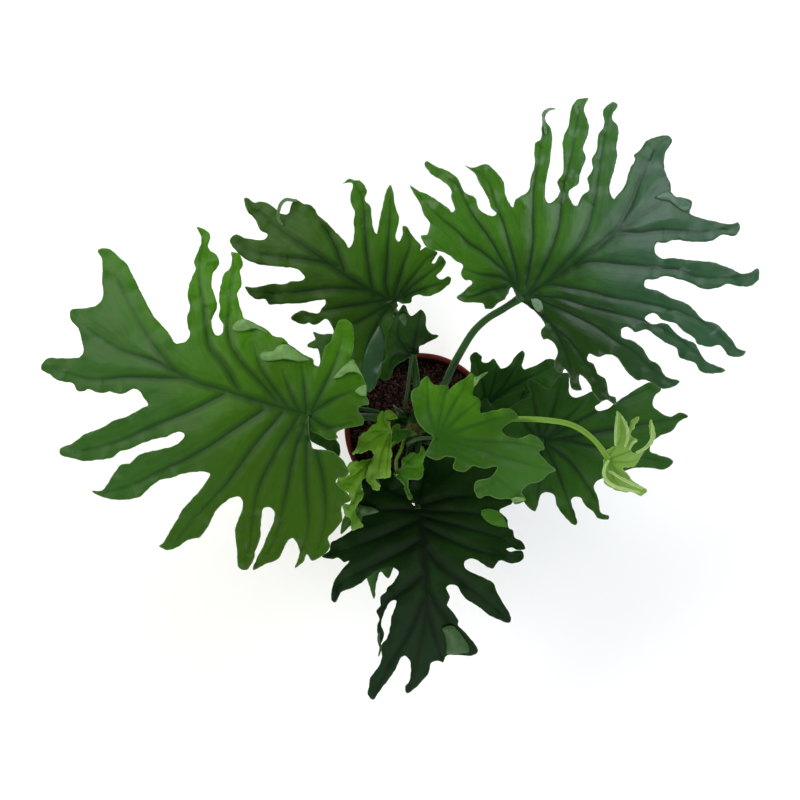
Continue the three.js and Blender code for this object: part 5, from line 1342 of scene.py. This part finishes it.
def fibreTree():
    # Short bent fibres lying about: a bowed line on each point, swept to a thin thread
    tree = bpy.data.node_groups.new("fibreScatter", "GeometryNodeTree")
    add = partial(addNode, tree)
    face = tree.interface
    for name, kind in (("Geometry", "Geometry"), ("Density", "Float"), ("Seed", "Int"),
                       ("Length", "Float"), ("Thickness", "Float"), ("Skin", "Material")):
        face.new_socket(name, in_out="INPUT", socket_type="NodeSocket" + kind)
    face.new_socket("Geometry", in_out="OUTPUT", socket_type="NodeSocketGeometry")
    given = add("NodeGroupInput", {}).outputs
    spots = add("GeometryNodeDistributePointsOnFaces",
                {"distribute_method": "RANDOM", "Mesh": given["Geometry"],
                 "Density": given["Density"], "Seed": given["Seed"]})
    bow = add("GeometryNodeCurveQuadraticBezier",
              {"Resolution": 7, "Start": (-0.5, 0, 0), "Middle": (0.05, 0.35, 0.12),
               "End": (0.5, -0.05, 0)})
    spin = add("FunctionNodeRandomValue",
               {"data_type": "FLOAT_VECTOR", "Min": (-0.25, -0.25, 0), "Max": (0.25, 0.25, 6.283),
                "Seed": given["Seed"]})
    grow = add("FunctionNodeRandomValue", {"data_type": "FLOAT", 2: 0.5, 3: 1.3, "Seed": given["Seed"]})
    size = add("ShaderNodeMath", {"operation": "MULTIPLY", 0: grow, 1: given["Length"]})
    laid = add("GeometryNodeInstanceOnPoints",
               {"Points": spots, "Instance": bow, "Rotation": spin, "Scale": size})
    real = add("GeometryNodeRealizeInstances", {"Geometry": laid})
    ring = add("GeometryNodeCurvePrimitiveCircle", {"Resolution": 5, "Radius": given["Thickness"]})
    swept = add("GeometryNodeCurveToMesh", {"Curve": real, "Profile Curve": ring, "Fill Caps": True})
    whole = add("GeometryNodeRealizeInstances", {"Geometry": swept})
    skinned = add("GeometryNodeSetMaterial", {"Geometry": whole, "Material": given["Skin"]})
    add("NodeGroupOutput", {"Geometry": skinned})
    return tree


def soilHeight(x, y):
    # Millimetres above the pot's base: low mounds, and a slight rise round the stem
    axis = stemAxis() / mm
    near = math.exp(-((x - axis[0]) ** 2 + (y - axis[1]) ** 2) / 900)
    lump = noise.fractal(Vector((x * 0.045, y * 0.045, 4.2)), 1.0, 2.0, 4)
    level = layout["potHeight"] - soilForm["depth"] - soilForm["sink"]
    return level + soilForm["mound"] * near + soilForm["lump"] * lump


def makeSoil(body, chipSkin, crumbSkin, fibreSkin):
    top = layout["potHeight"] - soilForm["depth"]
    edge = layout["rimRadius"] - potForm["lipWidth"] - 0.6
    foot = potForm["baseRadius"] - potForm["wall"] - 0.5
    rings = [(r, top) for r in np.linspace(edge, 2, 40)]
    profile = [(0, 3.2), (foot, 3.2), (edge, top - 3)] + rings + [(0, top)]

    def bumpy(radius, height, turn):
        if height < top - 1:
            return radius, height
        return radius, soilHeight(radius * math.cos(turn), radius * math.sin(turn))

    mesh = latheMesh("soil", profile, 120, bumpy)
    for vertex in mesh.vertices:
        if vertex.co.z > (top - 1) * mm and vertex.co.to_2d().length < 1e-6:
            vertex.co.z = soilHeight(0, 0) * mm
    mesh.materials.append(body)
    piece = addObject("pottingSoil", mesh)
    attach(piece, "root")
    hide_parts("soil")
    upper = [p.index for p in mesh.polygons if p.normal.z > 0.3 and p.center.z > (top - 6) * mm
             and p.center.to_2d().length < (edge - 2.5) * mm]
    ground = meshFrom("soilTop", [tuple(v.co) for v in mesh.vertices],
                      [tuple(mesh.polygons[i].vertices) for i in upper])
    area = sum(polygon.area for polygon in ground.polygons)
    scatter, fibre = scatterTree(), fibreTree()
    layers = [
        ("barkChips", scatter, {"Density": soilForm["chips"] / area, "Seed": soilForm["seed"],
                                "Smallest": (2.5 * mm, 1.8 * mm, 1.0 * mm), "Roughen": 3.0 * mm,
                                "Largest": (8 * mm, 4.5 * mm, 2.8 * mm), "Turn": (0.8, 0.8, 6.28),
                                "Skin": chipSkin}),
        ("peatCrumbs", scatter, {"Density": soilForm["crumbs"] / area,
                                 "Seed": soilForm["seed"] + 1, "Roughen": 2.0 * mm,
                                 "Smallest": (0.8 * mm, 0.8 * mm, 0.6 * mm),
                                 "Largest": (2.6 * mm, 2.2 * mm, 1.6 * mm), "Turn": (1.5, 1.5, 6.28),
                                 "Skin": crumbSkin}),
        ("peatFibres", fibre, {"Density": soilForm["fibres"] / area, "Seed": soilForm["seed"] + 2,
                               "Length": 14 * mm, "Thickness": 0.22 * mm, "Skin": fibreSkin}),
    ]
    for name, tree, values in layers:
        layer = addObject(name, ground.copy())
        applyTree(layer, tree, values)
        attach(layer, "root")
    bpy.data.meshes.remove(ground)
    return piece


stemForm = {
    "radius": 10.0,
    "top": 36.0,
    "buried": 28.0,
    "shoulder": 7,
    "scars": 7,
}


def makeStem(skin):
    low = layout["potHeight"] - soilForm["depth"] - stemForm["buried"]
    high = layout["potHeight"] + stemForm["top"]
    shoulder = stemForm["shoulder"]
    heights = np.linspace(low, high - shoulder, 60)
    profile = [(0, low)] + [(stemForm["radius"], h) for h in heights]
    profile += [(stemForm["radius"] * s, high - shoulder + shoulder * t)
                for s, t in ((0.93, 0.3), (0.8, 0.55), (0.6, 0.8), (0.3, 0.95))]
    profile += [(0, high)]
    turns = stemForm["scars"] / (high - low)

    def scarred(radius, height, turn):
        ridge = math.sin(2 * math.pi * ((height - low) * turns * 2 + turn / (2 * math.pi)))
        rough = noise.noise(Vector((math.cos(turn) * 1.6, math.sin(turn) * 1.6, height * 0.12)))
        if radius < stemForm["radius"]:
            return radius * (1 + 0.05 * rough), height
        return radius - 0.7 + 0.5 * ridge + 0.9 * rough, height

    mesh = latheMesh("stem", profile, 64, scarred)
    mesh.transform(Matrix.Translation((*stemAxis()[:2], 0)))
    mesh.materials.append(skin)
    piece = addObject("plantStem", mesh)
    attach(piece, "root")
    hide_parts("stem")
    return piece


# A scale leaf's foot in mm from the stem's axis and above the soil's level
scaleReach = 13.6
scaleFoot = 1.5
scaleForms = {
    "rear": {"angle": 128, "length": 40, "lean": 24, "width": 11},
    "right": {"angle": -40, "length": 30, "lean": 20, "width": 9},
}


def makeScale(name, skin):
    # A dry sheath: broad and clasping at the foot, drawn out to a point that leans away
    form = scaleForms[name]
    turn = math.radians(form["angle"])
    axis = stemAxis() / mm
    foot = np.array([axis[0] + scaleReach * math.cos(turn), axis[1] + scaleReach * math.sin(turn),
                     layout["potHeight"] - soilForm["depth"] + scaleFoot])
    out = np.array([math.cos(turn), math.sin(turn), 0])
    side = np.array([-math.sin(turn), math.cos(turn), 0])
    rows, columns = 26, 13
    corners = []
    for r in range(rows):
        share = r / (rows - 1)
        lean = math.radians(form["lean"]) * (0.5 + 0.9 * share)
        middle = foot + out * form["length"] * share * math.sin(lean)
        middle = middle + np.array([0, 0, form["length"] * share * math.cos(lean)])
        half = form["width"] / 2 * (1 - share**1.8) ** 0.8 + 0.15
        for c in range(columns):
            across = 2 * c / (columns - 1) - 1
            wrap = -0.42 * half * across**2 * 1.6
            corners.append((middle + side * half * across + out * wrap) * mm)
    faces = [(r * columns + c, r * columns + c + 1, (r + 1) * columns + c + 1, (r + 1) * columns + c)
             for r in range(rows - 1) for c in range(columns - 1)]
    mesh = meshFrom(f"scale_{name}", corners, faces)
    mesh.materials.append(skin)
    piece = addObject(f"dryScale_{name}", mesh)
    wall = piece.modifiers.new("thickness", "SOLIDIFY")
    wall.thickness = 0.7 * mm
    wall.offset = 0
    bakeModifiers(piece)
    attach(piece, "root")
    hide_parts(f"scale_leaf_{name}")
    return piece


studio = {
    "floorSize": 8.0,
    "floorColour": "#fbfbfa",
    "worldColour": "#f0f2f4",
    "roomLight": 0.75,
    "ceilingLight": 0.08,
    "pictureSide": 800,
    "sensorWidth": 36.0,
    "lamps": [
        # Where each stands, aimed at the plant, its side in metres, watts and colour
        {"at": (-1.9, 1.3, 1.6), "side": 1.6, "watts": 62, "colour": "#fffdf6"},
        {"at": (2.0, 1.4, 1.5), "side": 1.4, "watts": 56, "colour": "#f2f6ff"},
        {"at": (0.3, -2.4, 1.6), "side": 1.8, "watts": 56, "colour": "#ffffff"},
    ],
}


def makeStudio():
    half = studio["floorSize"] / 2
    floor = addObject("paleFloor", meshFrom("floor", [(-half, -half, 0), (half, -half, 0),
                                                      (half, half, 0), (-half, half, 0)], [(0, 1, 2, 3)]))
    material, add = startMaterial("mattPaleFloor")[:2]
    face = add("ShaderNodeBsdfPrincipled", {"Base Color": srgb(studio["floorColour"]), "Roughness": 0.9})
    add("ShaderNodeOutputMaterial", {"Surface": face})
    floor.data.materials.append(material)
    world = bpy.data.worlds.new("softRoom")
    bpy.context.scene.world = world
    world.use_nodes = True
    world.node_tree.nodes.clear()
    add = partial(addNode, world.node_tree)
    heading = add("ShaderNodeTexCoord", {}).outputs["Generated"]
    parts = add("ShaderNodeSeparateXYZ", {0: heading}).outputs["Z"]
    strength = add("ShaderNodeMapRange",
                   {0: parts, 1: 0.1, 2: 0.9, 3: studio["roomLight"], 4: studio["ceilingLight"]})
    back = add("ShaderNodeBackground", {"Color": srgb(studio["worldColour"]), "Strength": strength})
    add("ShaderNodeOutputWorld", {"Surface": back})
    target = Vector((0, 0, 0.25))
    for number, lamp in enumerate(studio["lamps"]):
        light = bpy.data.lights.new(f"softLamp{number}", "AREA")
        light.size = lamp["side"]
        light.energy = lamp["watts"]
        light.color = srgb(lamp["colour"])[:3]
        holder = addObject(f"softLamp{number}", light)
        holder.location = lamp["at"]
        holder.rotation_euler = (target - Vector(lamp["at"])).to_track_quat("-Z", "Y").to_euler()
    view = bpy.data.cameras.new("aboveCamera")
    view.sensor_width = studio["sensorWidth"]
    across = studio["pictureSide"] * unit
    view.lens = view.sensor_width * layout["eyeHeight"] / across
    view.clip_start, view.clip_end = 0.05, 20.0
    camera = addObject("aboveCamera", view)
    camera.location = Vector(place(*layout["eyePoint"], 0.0)) + Vector((0, 0, layout["eyeHeight"] * mm))
    bpy.context.scene.camera = camera
    bpy.context.scene.view_settings.view_transform = "Standard"


makeStudio()
print("studio ready")

makePot(makePotPlastic())
# Peat and composted bark: matt, near black, red-brown where a chip has split
makeSoil(makeRoughSkin("peatMix", "#0e0705", "#1d0f0b", "#33211b", 7),
         makeRoughSkin("compostedBark", "#1a0c0a", "#5c3632", "#a47c74", 4),
         makeRoughSkin("peatCrumb", "#160b09", "#30201c", "#5a4440", 4),
         makeRoughSkin("coirFibre", "#5b4531", "#8a7050", "#a08a66", 3))
# Corky stem skin: olive brown and matt. Dry sheaths: grey-green and papery, fibrous lengthwise
makeStem(makeRoughSkin("corkyStemSkin", "#3a3a1c", "#5f5a30", "#8d8052", 6, stretch=3.0, roughness=0.8))
sheathSkin = makeRoughSkin("paperySheath", "#4d6644", "#7d9270", "#a8b594", 4, stretch=0.15, roughness=0.6)
for scaleName in scaleForms:
    makeScale(scaleName, sheathSkin)
print("pot, soil and stem ready")

stalkSkins = {
    "stalkGreen": makeStalkSkin("freshStalkSkin", "#18380f", "#2c5a1e", "#38481e"),
    "paleStalk": makeStalkSkin("youngStalkSkin", "#5d8526", "#82a646", "#6f7a3c"),
}
stalkTree = sweepTree()
for leafName, stalkFacts in stalkForms.items():
    stalkPiece = makeStalk(leafName, stalkTree, stalkSkins)
print("stalks ready")

leafSkins = {finishName: (makeLeafSkin(f"{finishName}LeafTop", finishFacts, False),
                          makeLeafSkin(f"{finishName}LeafUnderside", finishFacts, True))
             for finishName, finishFacts in leafFinishes.items()}
for leafName, leafForm in leafForms.items():
    leafPiece = makeLeaf(leafName, leafSkins)
    print("leaf", leafName, len(leafPiece.data.polygons), "faces")
